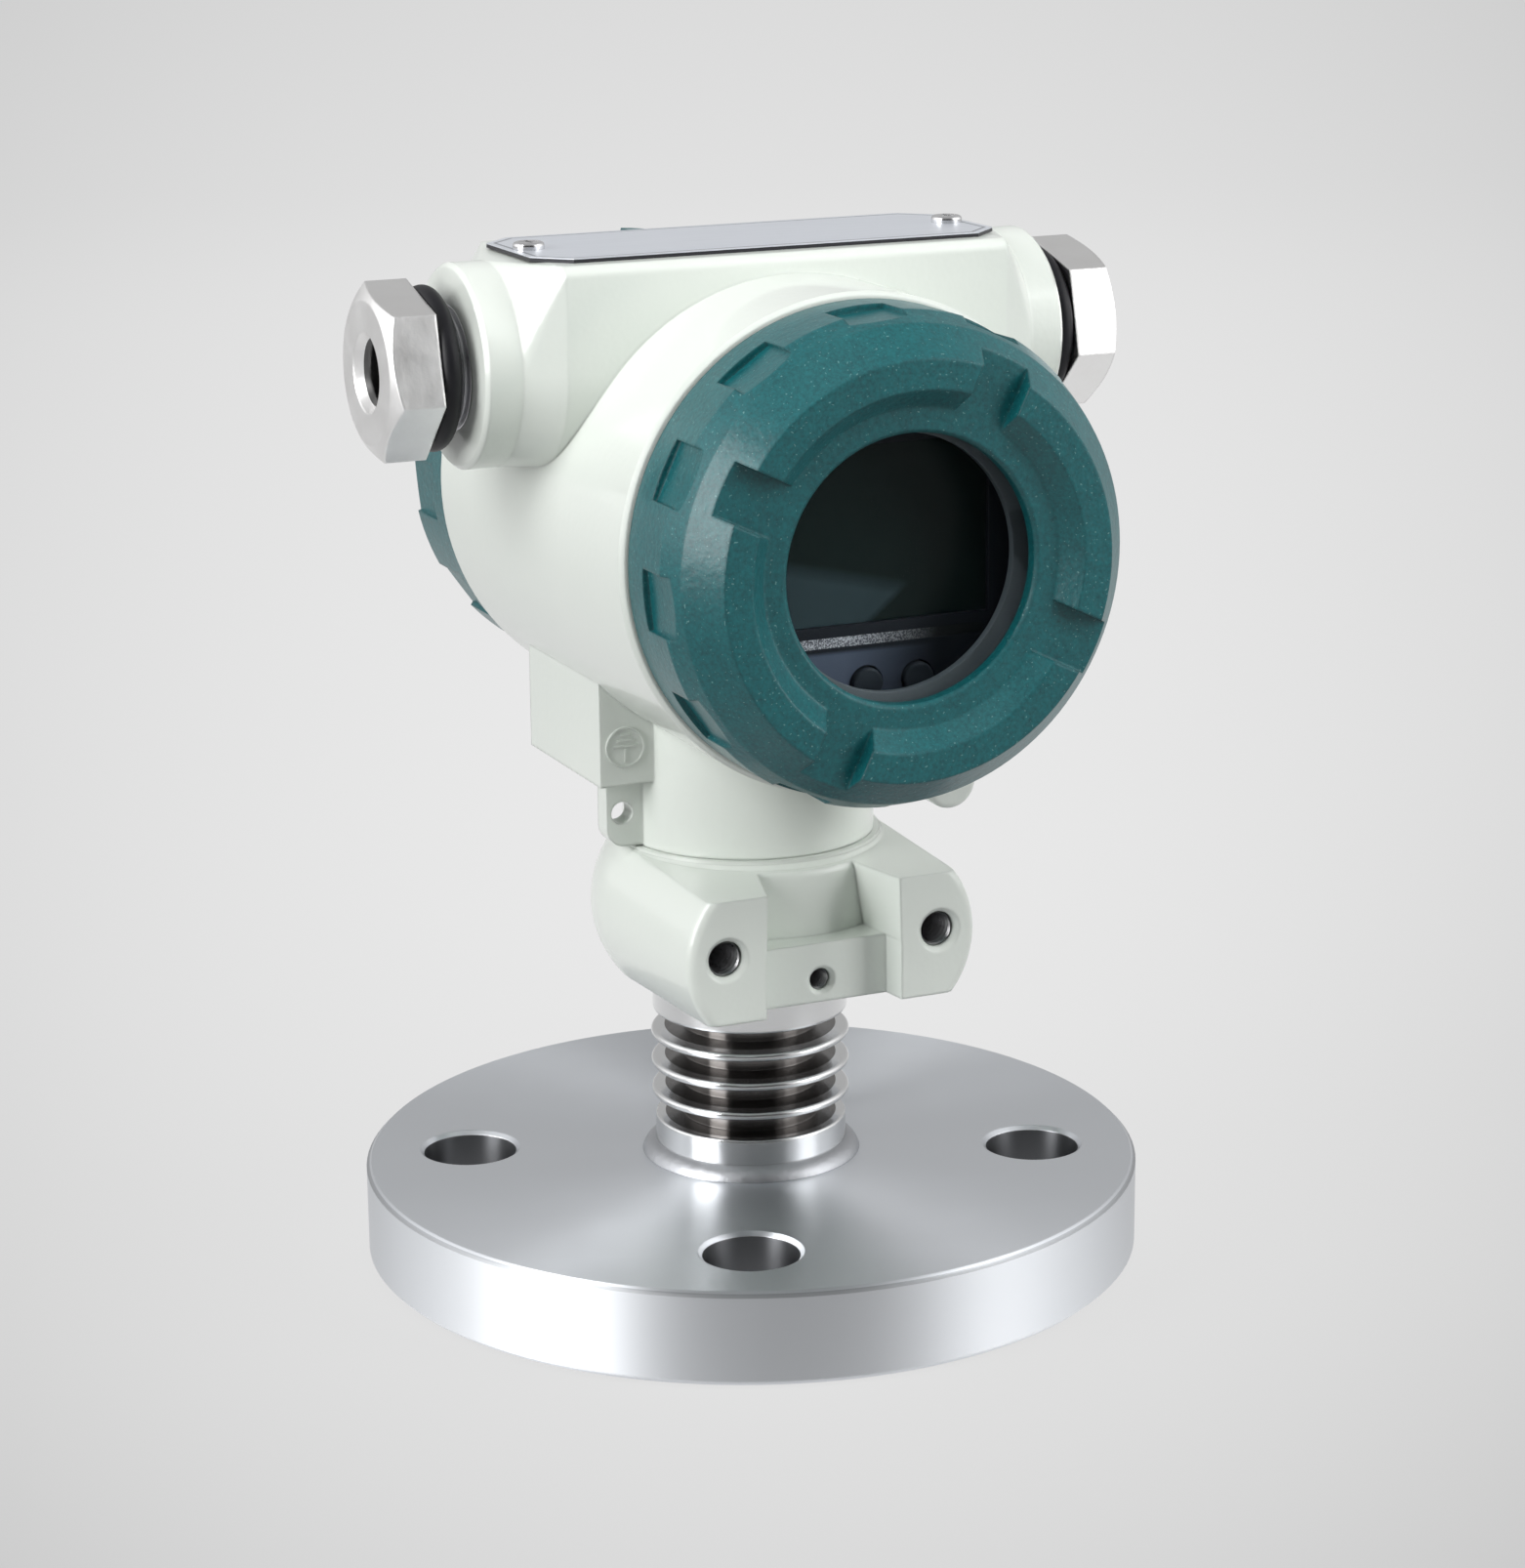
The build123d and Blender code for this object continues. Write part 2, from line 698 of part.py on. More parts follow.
front_edge = barrel_front_edge(1)
back_edge = barrel_front_edge(-1)
front_face = front_edge + rim_length_front + rim_taper_length + bevel_depth
back_face = back_edge + rim_length_back + back_bevel_depth
front_end_wall = front_mouth + thread_end_gap
back_end_wall = back_mouth + thread_end_gap
ring_foot = face_ring_inner - face_ring_slope
annulus_face = front_face - face_ring_depth
glass_seat = front_end_wall + gasket_thickness + glass_thickness + retaining_ring_thickness + glass_stack_gap
skirt_inner = thread_neck_radius + cover_thread_clearance
ring_recess = thread_neck_radius + 2 * o_ring_seat_gap + o_ring_section + o_ring_groove_clearance

# Window cover: rim with hand pockets, bevel, raised ring with notches, round window
with BuildPart() as front_cover:
    with BuildSketch(Plane.YZ):
        with BuildLine():
            Polyline(
                (-front_edge, from_axis(ring_recess)),
                (-front_edge, from_axis(cover_radius)),
                (-(front_edge + rim_length_front), from_axis(cover_radius)),
                (-(front_edge + rim_length_front + rim_taper_length), from_axis(cover_radius - rim_taper)),
                (-front_face, from_axis(bevel_inner_radius)),
                (-front_face, from_axis(face_ring_inner)),
                (-annulus_face, from_axis(ring_foot)),
                (-annulus_face, from_axis(window_radius + window_bevel)),
                (-(annulus_face - window_bevel), from_axis(window_radius)),
                (-glass_seat, from_axis(window_radius)),
                (-glass_seat, from_axis(glass_radius + glass_radial_clearance)),
                (-front_end_wall, from_axis(glass_radius + glass_radial_clearance)),
                (-front_end_wall, from_axis(skirt_inner)),
                (-(front_edge + front_recess_depth), from_axis(skirt_inner)),
                (-(front_edge + front_recess_depth), from_axis(ring_recess)),
                close=True,
            )
        make_face()
    revolve(axis=cover_axis)
    add(grip_cuts(front_face, 1), mode=Mode.SUBTRACT)
save(front_cover.part, "front_cover")

# Terminal cover: the same grip, closed face
with BuildPart() as rear_cover:
    with BuildSketch(Plane.YZ):
        with BuildLine():
            Polyline(
                (back_edge, from_axis(ring_recess)),
                (back_edge, from_axis(cover_radius)),
                (back_edge + rim_length_back, from_axis(cover_radius)),
                (back_face, from_axis(bevel_inner_radius)),
                (back_face, from_axis(face_ring_inner)),
                (back_face - face_ring_depth, from_axis(ring_foot)),
                (back_face - face_ring_depth, cover_axis_height),
                (back_end_wall, cover_axis_height),
                (back_end_wall, from_axis(skirt_inner)),
                (back_edge + back_recess_depth, from_axis(skirt_inner)),
                (back_edge + back_recess_depth, from_axis(ring_recess)),
                close=True,
            )
        make_face()
    revolve(axis=cover_axis)
    add(grip_cuts(back_face, -1), mode=Mode.SUBTRACT)
save(rear_cover.part, "rear_cover")

# O-rings behind the two covers, seated on the thread necks
ring_centre = thread_neck_radius + o_ring_seat_gap + o_ring_section / 2
for ring_name, ring_y in (
    ("front_cover_o_ring", -(barrel_front + o_ring_seat_gap + o_ring_section / 2)),
    ("rear_cover_o_ring", barrel_back + o_ring_seat_gap + o_ring_section / 2),
):
    with BuildPart() as cover_ring:
        with BuildSketch(Plane.YZ):
            with Locations((ring_y, from_axis(ring_centre))):
                Circle(o_ring_section / 2)
        revolve(axis=cover_axis)
    save(cover_ring.part, ring_name)


def ring_along_cover(outer, inner, near, far):
    """Flat ring or disc on the cover axis between two distances to the front."""
    with BuildPart() as ring:
        with BuildSketch(Plane.XZ.offset(near)):
            with Locations((0, cover_axis_height)):
                Circle(outer)
                if inner > 0:
                    Circle(inner, mode=Mode.SUBTRACT)
        extrude(amount=far - near)
    return ring.part


# Window glass between its gasket and the retaining ring
glass_front = glass_seat - gasket_thickness
glass_back = glass_front - glass_thickness
save(ring_along_cover(glass_radius, glass_radius - gasket_width, glass_front, glass_seat), "window_gasket")
save(ring_along_cover(glass_radius, 0, glass_back, glass_front), "window_glass")
retaining_front = glass_back
save(
    ring_along_cover(
        glass_radius, retaining_ring_inner, retaining_front - retaining_ring_thickness, retaining_front
    ),
    "glass_retaining_ring",
)

# Display bezel: disc with openings for the screen, the strip and three buttons
button_places = [(button_middle_x + step * button_spacing, button_height) for step in (-1, 0, 1)]
bezel_back = display_face - display_thickness
screen_middle = (screen_top + screen_bottom) / 2
strip_middle = (strip_top + strip_bottom) / 2
with BuildPart() as display_bezel:
    with BuildSketch(Plane.XZ.offset(bezel_back)):
        with Locations((0, cover_axis_height)):
            Circle(display_radius)
    extrude(amount=display_thickness)
    chamfer(display_bezel.faces().sort_by(Axis.Y)[0].edges(), bezel_edge)
    with BuildSketch(Plane.XZ.offset(display_face - screen_recess - screen_thickness)):
        with Locations((0, screen_middle)):
            Rectangle(2 * screen_half_width, screen_top - screen_bottom)
    extrude(amount=screen_recess + screen_thickness, mode=Mode.SUBTRACT)
    with BuildSketch(Plane.XZ.offset(display_face - strip_thickness)):
        with Locations((0, strip_middle)):
            Rectangle(2 * strip_half_width, strip_top - strip_bottom)
    extrude(amount=strip_thickness, mode=Mode.SUBTRACT)
    with BuildSketch(Plane.XZ.offset(bezel_back)):
        with Locations(*button_places):
            Circle(button_radius + button_clearance)
    extrude(amount=display_thickness, mode=Mode.SUBTRACT)
save(display_bezel.part, "display_bezel")

with BuildPart() as lcd_panel:
    with BuildSketch(Plane.XZ.offset(display_face - screen_recess - screen_thickness)):
        with Locations((0, screen_middle)):
            Rectangle(2 * screen_half_width, screen_top - screen_bottom)
    extrude(amount=screen_thickness)
save(lcd_panel.part, "lcd_panel")

with BuildPart() as display_strip:
    with BuildSketch(Plane.XZ.offset(display_face - strip_thickness)):
        with Locations((0, strip_middle)):
            Rectangle(2 * strip_half_width, strip_top - strip_bottom)
    extrude(amount=strip_thickness)
save(display_strip.part, "display_strip")

# Three push buttons, each with a stem that ends just short of the board
button_foot = bezel_back + button_travel + button_foot_gap
for place, button_name in zip(button_places, ("left_button", "middle_button", "right_button")):
    with BuildPart() as button:
        with BuildSketch(Plane.XZ.offset(button_foot)):
            with Locations(place):
                Circle(button_radius)
        extrude(amount=display_face + button_proud - button_foot)
        fillet(button.edges().filter_by(GeomType.CIRCLE).sort_by(Axis.Y)[0], button_edge)
    save(button.part, button_name)


def round_board(back):
    """Round circuit board whose rear face lies at a distance to the front."""
    with BuildPart() as board:
        with BuildSketch(Plane.XZ.offset(back)):
            with Locations((0, cover_axis_height)):
                Circle(board_radius)
        extrude(amount=board_thickness)
    return board.part


# Circuit boards in the front compartment and the spacers between them
save(round_board(bezel_back - board_thickness), "display_board")
for board_name, board_back in zip(("power_board", "main_board"), board_positions):
    with BuildPart() as board_with_chips:
        add(round_board(board_back))
        with BuildSketch(Plane.XZ.offset(board_back + board_thickness)):
            with Locations((0, cover_axis_height)):
                with GridLocations(chip_pitch, chip_pitch, 2, 2):
                    Rectangle(chip_size, chip_size)
        extrude(amount=component_height)
    save(board_with_chips.part, board_name)

board_backs = [*board_positions, bezel_back - board_thickness]
spacer_starts = [front_floor, *(back + board_thickness for back in board_positions)]
with BuildPart() as board_spacers:
    for start, stop in zip(spacer_starts, board_backs):
        with BuildSketch(Plane.XZ.offset(start)):
            with Locations((0, cover_axis_height)):
                with PolarLocations(spacer_circle, spacer_count):
                    Circle(spacer_radius)
        extrude(amount=stop - start)
save(board_spacers.part, "board_spacers")

# Terminal block on the floor of the back compartment, with three clamp screws
terminal_face = terminal_thickness - back_floor
terminal_places = [((index - 1) * terminal_spacing, terminal_height) for index in range(terminal_count)]
with BuildPart() as terminal_block:
    with BuildSketch(Plane.XZ.offset(back_floor)):
        with Locations((0, cover_axis_height)):
            Circle(terminal_radius)
        with Locations((0, terminal_cut_height + terminal_radius)):
            Rectangle(2 * terminal_radius, 2 * terminal_radius, mode=Mode.SUBTRACT)
    extrude(amount=-terminal_thickness)
    with BuildSketch(Plane.XZ.offset(-terminal_face)):
        with Locations((0, terminal_height)):
            Rectangle(
                (terminal_count - 1) * terminal_spacing + terminal_block_width, terminal_block_width
            )
    extrude(amount=-terminal_step)
    with BuildSketch(Plane.XZ.offset(-(terminal_face + terminal_step))):
        with Locations(*terminal_places):
            Circle(terminal_screw_radius + terminal_screw_gap)
    extrude(amount=terminal_step, mode=Mode.SUBTRACT)
save(terminal_block.part, "terminal_block")

with BuildPart() as terminal_screws:
    with BuildSketch(Plane.XZ.offset(-terminal_face)):
        with Locations(*terminal_places):
            Circle(terminal_screw_radius)
    extrude(amount=-terminal_screw_height)
    with BuildSketch(Plane.XZ.offset(-(terminal_face + terminal_screw_height))):
        with Locations(*terminal_places):
            Rectangle(2 * terminal_screw_radius, terminal_slot_width)
    extrude(amount=terminal_slot_depth, mode=Mode.SUBTRACT)
save(terminal_screws.part, "terminal_screws")

# Blank nameplate with cut corners, held by two small screws
with BuildPart() as nameplate:
    with BuildSketch(Plane.XY.offset(box_top)) as plate_outline:
        Rectangle(plate_length, plate_width)
        chamfer(plate_outline.vertices(), plate_corner)
        with GridLocations(2 * plate_screw_x, 0, 2, 1):
            Circle(plate_screw_shank + plate_screw_clearance, mode=Mode.SUBTRACT)
    extrude(amount=plate_thickness)
save(nameplate.part, "nameplate")

plate_top = box_top + plate_thickness
with BuildPart() as nameplate_screws:
    with BuildSketch(Plane.XY.offset(plate_top)):
        with GridLocations(2 * plate_screw_x, 0, 2, 1):
            Circle(plate_screw_head_radius)
    extrude(amount=plate_screw_head_height)
    fillet(nameplate_screws.faces().sort_by(Axis.Z)[-2:].edges(), plate_screw_edge)
    with BuildSketch(Plane.XY.offset(plate_top)):
        with GridLocations(2 * plate_screw_x, 0, 2, 1):
            Circle(plate_screw_shank)
    extrude(amount=-(plate_screw_length - plate_screw_clearance))
    with BuildSketch(Plane.XY.offset(plate_top + plate_screw_head_height)):
        with GridLocations(2 * plate_screw_x, 0, 2, 1):
            Rectangle(plate_screw_cross_length, plate_screw_cross_width)
            Rectangle(plate_screw_cross_width, plate_screw_cross_length)
    extrude(amount=-plate_screw_cross_depth, mode=Mode.SUBTRACT)
save(nameplate_screws.part, "nameplate_screws")


def conduit_plug(side, end, length, bore, mouth):
    """Hexagon plug on one side of the conduit axis; bore and mouth radii of 0 leave it blind."""
    back = end - length
    plane = Plane((side * back, 0, conduit_axis_height), x_dir=(0, 1, 0), z_dir=(side, 0, 0))
    with BuildPart() as plug:
        with BuildSketch(plane):
            RegularPolygon(plug_flats / 2, hexagon_sides, major_radius=False, rotation=side * plug_turn)
        extrude(amount=length)
        with BuildSketch(Plane.XZ):
            with BuildLine():
                Polyline(
                    (side * back, conduit_axis_height),
                    (side * back, conduit_axis_height + plug_flats),
                    (side * (end - plug_end_drop), conduit_axis_height + plug_corner_radius),
                    (side * end, conduit_axis_height + plug_flats / 2 - plug_end_flat_inset),
                    (side * end, conduit_axis_height),
                    close=True,
                )
            make_face()
        revolve(axis=conduit_axis, mode=Mode.INTERSECT)
        with BuildSketch(plane):
            Circle(plug_collar_radius)
        extrude(amount=-(back - hub_reach) / 2)
        with BuildSketch(plane):
            Circle(conduit_bore_radius - plug_thread_clearance)
        extrude(amount=-(back - hub_reach + plug_thread_length))
        if bore > 0:
            with BuildSketch(plane.offset(length)):
                Circle(bore)
            extrude(amount=-(length + back - hub_reach + plug_thread_length), mode=Mode.SUBTRACT)
            with BuildSketch(plane.offset(length)):
                Circle(mouth)
            with BuildSketch(plane.offset(length - plug_mouth_depth)):
                Circle(bore)
            loft(mode=Mode.SUBTRACT)
    return plug.part


# Cable plug with its bore on the left, blanking plug on the right, a seal under each
save(conduit_plug(-1, plug_end, plug_length, plug_bore_radius, plug_mouth_radius), "cable_plug")
save(conduit_plug(1, blank_plug_end, blank_plug_length, 0, 0), "blanking_plug")
for seal_name, seal_side, hex_back in (
    ("cable_plug_o_ring", -1, plug_end - plug_length),
    ("blanking_plug_o_ring", 1, blank_plug_end - blank_plug_length),
):
    seal_half = seal_width / 2
    with BuildPart() as seal:
        with BuildSketch(Plane.XZ):
            with Locations(
                (seal_side * (hex_back - o_ring_seat_gap - seal_half), conduit_axis_height + seal_centre)
            ):
                Circle(seal_half)
        revolve(axis=conduit_axis)
    save(seal.part, seal_name)
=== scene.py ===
# %% [markdown]
# A flange pressure transmitter, dressed in Blender.
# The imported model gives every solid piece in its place. This file adds the finishes, the small
# relief and threads that a solid model leaves out, and a soft studio with the camera.

# %% The frame and the modules
import math

import bpy
import numpy as np
from mathutils import Matrix, Vector


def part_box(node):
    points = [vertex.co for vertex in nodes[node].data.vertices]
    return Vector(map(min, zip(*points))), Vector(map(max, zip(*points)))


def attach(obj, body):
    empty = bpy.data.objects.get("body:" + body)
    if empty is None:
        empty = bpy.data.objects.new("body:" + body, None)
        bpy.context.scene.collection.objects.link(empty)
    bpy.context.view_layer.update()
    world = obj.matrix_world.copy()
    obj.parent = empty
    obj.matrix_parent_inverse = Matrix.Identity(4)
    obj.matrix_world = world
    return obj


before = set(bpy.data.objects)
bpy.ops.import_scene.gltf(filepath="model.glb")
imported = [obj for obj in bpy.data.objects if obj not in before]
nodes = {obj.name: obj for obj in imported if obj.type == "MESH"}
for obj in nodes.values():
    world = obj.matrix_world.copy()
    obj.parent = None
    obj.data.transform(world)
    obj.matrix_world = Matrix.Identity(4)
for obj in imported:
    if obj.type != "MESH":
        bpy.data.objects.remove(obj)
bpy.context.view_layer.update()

# %% [markdown]
# The camera looks down by fifteen degrees from the front left. Its place was found by fitting
# the flange's ellipses, the cover's rim and the conduit hubs to the picture, so it is written
# as a viewpoint, three angles and a focal length in pixels of the 1562 by 1606 frame.

# %% Camera
picture_width, picture_height = 1562, 1606
focal_pixels = 3962.9
eye = Vector((-0.28846, -0.65208, 0.28460))
look = Vector((0.39396, 0.88105, -0.26182)).normalized()
right_hint = Vector((0.91195, -0.41023, -0.00823))
upward = right_hint.cross(look).normalized()
sideways = look.cross(upward).normalized()
sensor_long_side = 36.0

camera_data = bpy.data.cameras.new("studio_camera")
camera_data.sensor_width = sensor_long_side
camera_data.lens = sensor_long_side * focal_pixels / picture_height
camera = bpy.data.objects.new("studio_camera", camera_data)
bpy.context.scene.collection.objects.link(camera)
camera.matrix_world = Matrix.Translation(eye) @ Matrix((sideways, upward, -look)).transposed().to_4x4()
bpy.context.scene.camera = camera
print("lens", round(camera_data.lens, 2), "mm")

# %% [markdown]
# Shader graphs read best as sums. A small class wraps an output socket and turns plus, minus,
# times, divide and power into Math nodes, so a pattern is written as the formula it is.

# %% Node arithmetic
class Value:
    """An output socket that can be added, multiplied and raised to a power."""

    def __init__(self, finish, socket):
        self.finish, self.socket = finish, socket

    def maths(self, operation, first, second):
        return self.finish.node("ShaderNodeMath", {"operation": operation}, {0: first, 1: second})

    def __add__(self, other):
        return self.maths("ADD", self, other)

    def __radd__(self, other):
        return self.maths("ADD", other, self)

    def __sub__(self, other):
        return self.maths("SUBTRACT", self, other)

    def __rsub__(self, other):
        return self.maths("SUBTRACT", other, self)

    def __mul__(self, other):
        return self.maths("MULTIPLY", self, other)

    def __rmul__(self, other):
        return self.maths("MULTIPLY", other, self)

    def __truediv__(self, other):
        return self.maths("DIVIDE", self, other)

    def __rtruediv__(self, other):
        return self.maths("DIVIDE", other, self)

    def __pow__(self, other):
        return self.maths("POWER", self, other)

    def above(self, edge):
        """1 where the value is greater than edge, and 0 elsewhere."""
        return self.maths("GREATER_THAN", self, edge)


class Finish:
    """One material: a Principled shader and the nodes that feed it."""

    def __init__(self, name, **constants):
        self.material = bpy.data.materials.new(name)
        self.material.use_nodes = True
        self.tree = self.material.node_tree
        self.tree.nodes.clear()
        self.output = self.tree.nodes.new("ShaderNodeOutputMaterial")
        self.shader = self.tree.nodes.new("ShaderNodeBsdfPrincipled")
        self.tree.links.new(self.shader.outputs[0], self.output.inputs[0])
        for socket, value in constants.items():
            self.shader.inputs[socket.replace("_", " ")].default_value = value

    def node(self, kind, settings=None, sockets=None, out=0):
        """Adds a node: its settings first, then a value or a link for each named socket."""
        made = self.tree.nodes.new(kind)
        for name, value in (settings or {}).items():
            if name == "stops":
                ramp = made.color_ramp
                while len(ramp.elements) < len(value):
                    ramp.elements.new(0.5)
                for element, (place, colour) in zip(ramp.elements, value):
                    element.position, element.color = place, colour
            else:
                setattr(made, name, value)
        for socket, value in (sockets or {}).items():
            if isinstance(value, Value):
                self.tree.links.new(value.socket, made.inputs[socket])
            else:
                made.inputs[socket].default_value = value
        return Value(self, made.outputs[out])

    def place(self):
        """The point's coordinates in metres, the same as the model's."""
        return self.node("ShaderNodeTexCoord", out="Object")

    def axes(self, point):
        """The three coordinates of a point as separate values."""
        first = self.node("ShaderNodeSeparateXYZ", sockets={0: point})
        outputs = first.socket.node.outputs
        return [Value(self, outputs[k]) for k in range(3)]

    def size_of(self, value):
        return self.node("ShaderNodeMath", {"operation": "ABSOLUTE"}, {0: value})

    def noise(self, point, scale, detail=2.0, roughness=0.5):
        return self.node("ShaderNodeTexNoise", sockets={
            "Vector": point, "Scale": scale, "Detail": detail, "Roughness": roughness})

    def blend(self, share, low, high):
        """Colour low where share is 0 and high where it is 1."""
        return self.node("ShaderNodeMix", {"data_type": "RGBA"}, {0: share, 6: low, 7: high}, out=2)

    def soften(self, radius):
        """Rounded normals along sharp edges, within a radius in metres."""
        return self.node("ShaderNodeBevel", {"samples": 4}, {"Radius": radius})

    def bump(self, height, strength, distance, normal=None):
        sockets = {"Height": height, "Strength": strength, "Distance": distance}
        if normal is not None:
            sockets["Normal"] = normal
        return self.node("ShaderNodeBump", sockets=sockets)

    def feed(self, **links):
        """Links values to the shader's varying sockets."""
        for socket, value in links.items():
            self.tree.links.new(value.socket, self.shader.inputs[socket.replace("_", " ")])
        return self


def grey(level):
    return (level, level, level, 1.0)


def lighter(tone, gain):
    """The colour times gain, with no channel above 1."""
    return tuple(min(1.0, channel * gain) for channel in tone[:3]) + (1,)


def ramped(value, low, high):
    """0 where the value is at most low, 1 where it is at least high, straight in between."""
    return value.finish.node("ShaderNodeMapRange", None, {0: value, 1: low, 2: high, 3: 0.0, 4: 1.0})


def wear(node_name, finish):
    """Gives a CAD node this finish."""
    slots = nodes[node_name].data.materials
    slots.clear()
    slots.append(finish.material)
    print(node_name, "wears", finish.material.name)


# %% [markdown]
# The castings wear an off-white powder coat: nearly smooth, a little glossy, with the shallow
# waves that powder leaves as it melts. The waves are a noise of about one millimetre, and the
# castings' edges are softened where the light runs along them.

# %% Powder coat of the castings
cloud_scale, wave_scale, pit_scale = 22.0, 620.0, 2600.0
pit_share = 0.71
white_coat = Finish("white_powder_coat", Roughness=0.30, IOR=1.5, Coat_Weight=0.60, Coat_Roughness=0.07)
spot = white_coat.place()
cloud = white_coat.noise(spot, cloud_scale)
waves = white_coat.noise(spot, wave_scale, detail=1.0)
pits = white_coat.noise(spot, pit_scale, detail=0.0).above(pit_share)
coat_colour = white_coat.blend(cloud, (0.745, 0.795, 0.745, 1), (0.785, 0.825, 0.775, 1))
coat_normal = white_coat.bump(waves - pits * 0.25, 0.10, 0.0004, white_coat.soften(0.0009))
white_coat.feed(Base_Color=coat_colour, Normal=coat_normal)
for name in ("electronics_housing", "sensor_body"):
    wear(name, white_coat)

# %% [markdown]
# Both covers are cast too, but their teal enamel is thick and grainy. The grain is a coarse
# bump, its tone is mottled at the same size, and here and there a grain's top catches the light
# as a pale speck.

# %% Teal enamel of the covers
grain_scale, mottle_scale, coarse_scale, speck_scale = 780.0, 1500.0, 260.0, 2300.0
speck_share = 0.79
deep_teal, pale_teal = (0.004, 0.058, 0.067, 1), (0.007, 0.134, 0.146, 1)
teal_enamel = Finish("teal_enamel", Roughness=0.36, IOR=1.45, Coat_Weight=0.20, Coat_Roughness=0.20)
spot = teal_enamel.place()
grain = teal_enamel.noise(spot, grain_scale, detail=2.0)
mottle = teal_enamel.noise(spot, mottle_scale, detail=2.0, roughness=0.7)
coarse = teal_enamel.noise(spot, coarse_scale, detail=1.0)
speck = teal_enamel.noise(spot, speck_scale, detail=0.0).above(speck_share)
enamel_colour = teal_enamel.blend(coarse * 0.4 + (mottle - 0.5) * 1.6 + 0.3, deep_teal, pale_teal)
enamel_colour = teal_enamel.blend(speck * 0.25, enamel_colour, (0.35, 0.62, 0.60, 1))
enamel_normal = teal_enamel.bump(grain * 0.7 + coarse * 0.5, 0.22, 0.0005, teal_enamel.soften(0.0008))
teal_enamel.feed(Base_Color=enamel_colour, Normal=enamel_normal)
for name in ("front_cover", "rear_cover"):
    wear(name, teal_enamel)

# %% [markdown]
# A lathe leaves fine rings on steel. They spread a highlight across the rings, which gives a
# turned face its bright and dark fans. The shader's anisotropy does most of it: without a tangent
# link its grain runs round the Z axis, and a quarter turn lays the highlight across that grain.
# A faint noise of the distance from the axis adds single rings.

# %% Turned steel
height_share = 0.83
# Colours of painted shade: at the fins' root, in the bolt holes and on the flange chamfer's lower part.
painted_root_shade, painted_hole_shade, painted_chamfer_shade = (0.085, 0.075, 0.068, 1), (0.08, 0.08, 0.085, 1), (0.16, 0.17, 0.18, 1)


def turned_steel(name, tone, ring_scale, tilt, roughness, spread, root_shade_zone=None, holes=None, edge=None):
    """Metal with lathe rings. The rings' input is (distance from Z) + 0.83 * height, so they lie on
    flat faces and on cylinders alike. Within root_shade_zone (radius, low, high) the tone is painted
    dark as painted shade at the fins' root, and so is the wall of four holes (circle radius, turn,
    hole radius, top) as painted shade in the bolt holes. An edge (radius, low, high) gives the lower
    part of a chamfer a darker tone as painted shade, and the rim outside it a rougher face."""
    steel = Finish(name, Metallic=1.0, Anisotropic=spread, Anisotropic_Rotation=0.25)
    point = steel.place()
    x, y, z = steel.axes(point)
    distance = (x * x + y * y) ** 0.5
    track = steel.node("ShaderNodeCombineXYZ", sockets={0: distance + z * height_share, 1: 0.0, 2: 0.0})
    rings = steel.noise(track, ring_scale, detail=3.0, roughness=0.65)
    stain = steel.noise(point, 38.0, detail=3.0)
    colour = steel.blend(stain, tone, lighter(tone, 1.06))
    rough = roughness + (stain - 0.5) * 0.08
    # Painted shade: the fins' root is painted nearly black where shade falls between the fins.
    if root_shade_zone:
        radius, low, high = root_shade_zone
        inside = (1 - distance.above(radius)) * z.above(low) * (1 - z.above(high))
        colour = steel.blend(inside * 0.88, colour, painted_root_shade)
    # Painted shade: the bolt holes' walls are painted dark where shade falls inside them.
    if holes:
        circle, turn, radius, top = holes
        first = steel.size_of(x * math.cos(turn) + y * math.sin(turn))
        second = steel.size_of(y * math.cos(turn) - x * math.sin(turn))
        far, near = first.maths("MAXIMUM", first, second), first.maths("MINIMUM", first, second)
        in_hole = 1 - (((far - circle) ** 2 + near ** 2) ** 0.5).above(radius)
        colour = steel.blend(in_hole * (1 - z.above(top)) * 0.8, colour, painted_hole_shade)
    # Painted shade: the lower part of the chamfer is painted darker to dim its bright line.
    if edge:
        radius, low, high = edge
        chamfer_shaded = distance.above(radius) * z.above(low) * (1 - z.above(high))
        colour = steel.blend(chamfer_shaded * 0.35, colour, painted_chamfer_shade)
        rim = distance.above(radius + 0.0004)
        colour = steel.blend(rim * 0.20, colour, grey(1.0))
        rough = rough + rim * 0.22 + (rings - 0.5) * 0.06
    normal = steel.bump(rings, tilt, 0.00012, steel.soften(0.0004))
    return steel.feed(Base_Color=colour, Roughness=rough, Normal=normal)


# %% Flange, neck and diaphragm
# The bolt holes' walls get painted shade.
bolt_holes = (0.0550, math.radians(66.0), 0.0092, 0.0172)
# The lower part of the flange's chamfer gets painted shade.
flange_edge = (0.0742, 0.0170, 0.0176)
flange_steel = turned_steel("turned_flange_steel", (0.75, 0.775, 0.81, 1), 5200.0, 0.14, 0.40, 0.85,
                            holes=bolt_holes, edge=flange_edge)
# The neck's fin root gets painted shade.
neck_steel = turned_steel("turned_neck_steel", (0.74, 0.745, 0.75, 1), 4200.0, 0.12, 0.20, 0.70,
                          root_shade_zone=(0.0166, 0.0252, 0.0470))
foil_steel = turned_steel("diaphragm_foil", (0.68, 0.69, 0.70, 1), 2200.0, 0.06, 0.24, 0.3)
wear("flange", flange_steel)
wear("cooling_neck", neck_steel)
wear("isolating_diaphragm", foil_steel)

# %% [markdown]
# The weld bead, screws and plugs are metal with other histories: a ground bead is blotchy, small
# screws are bright, and the nickel-plated plugs were forged, so their flats are softly uneven.

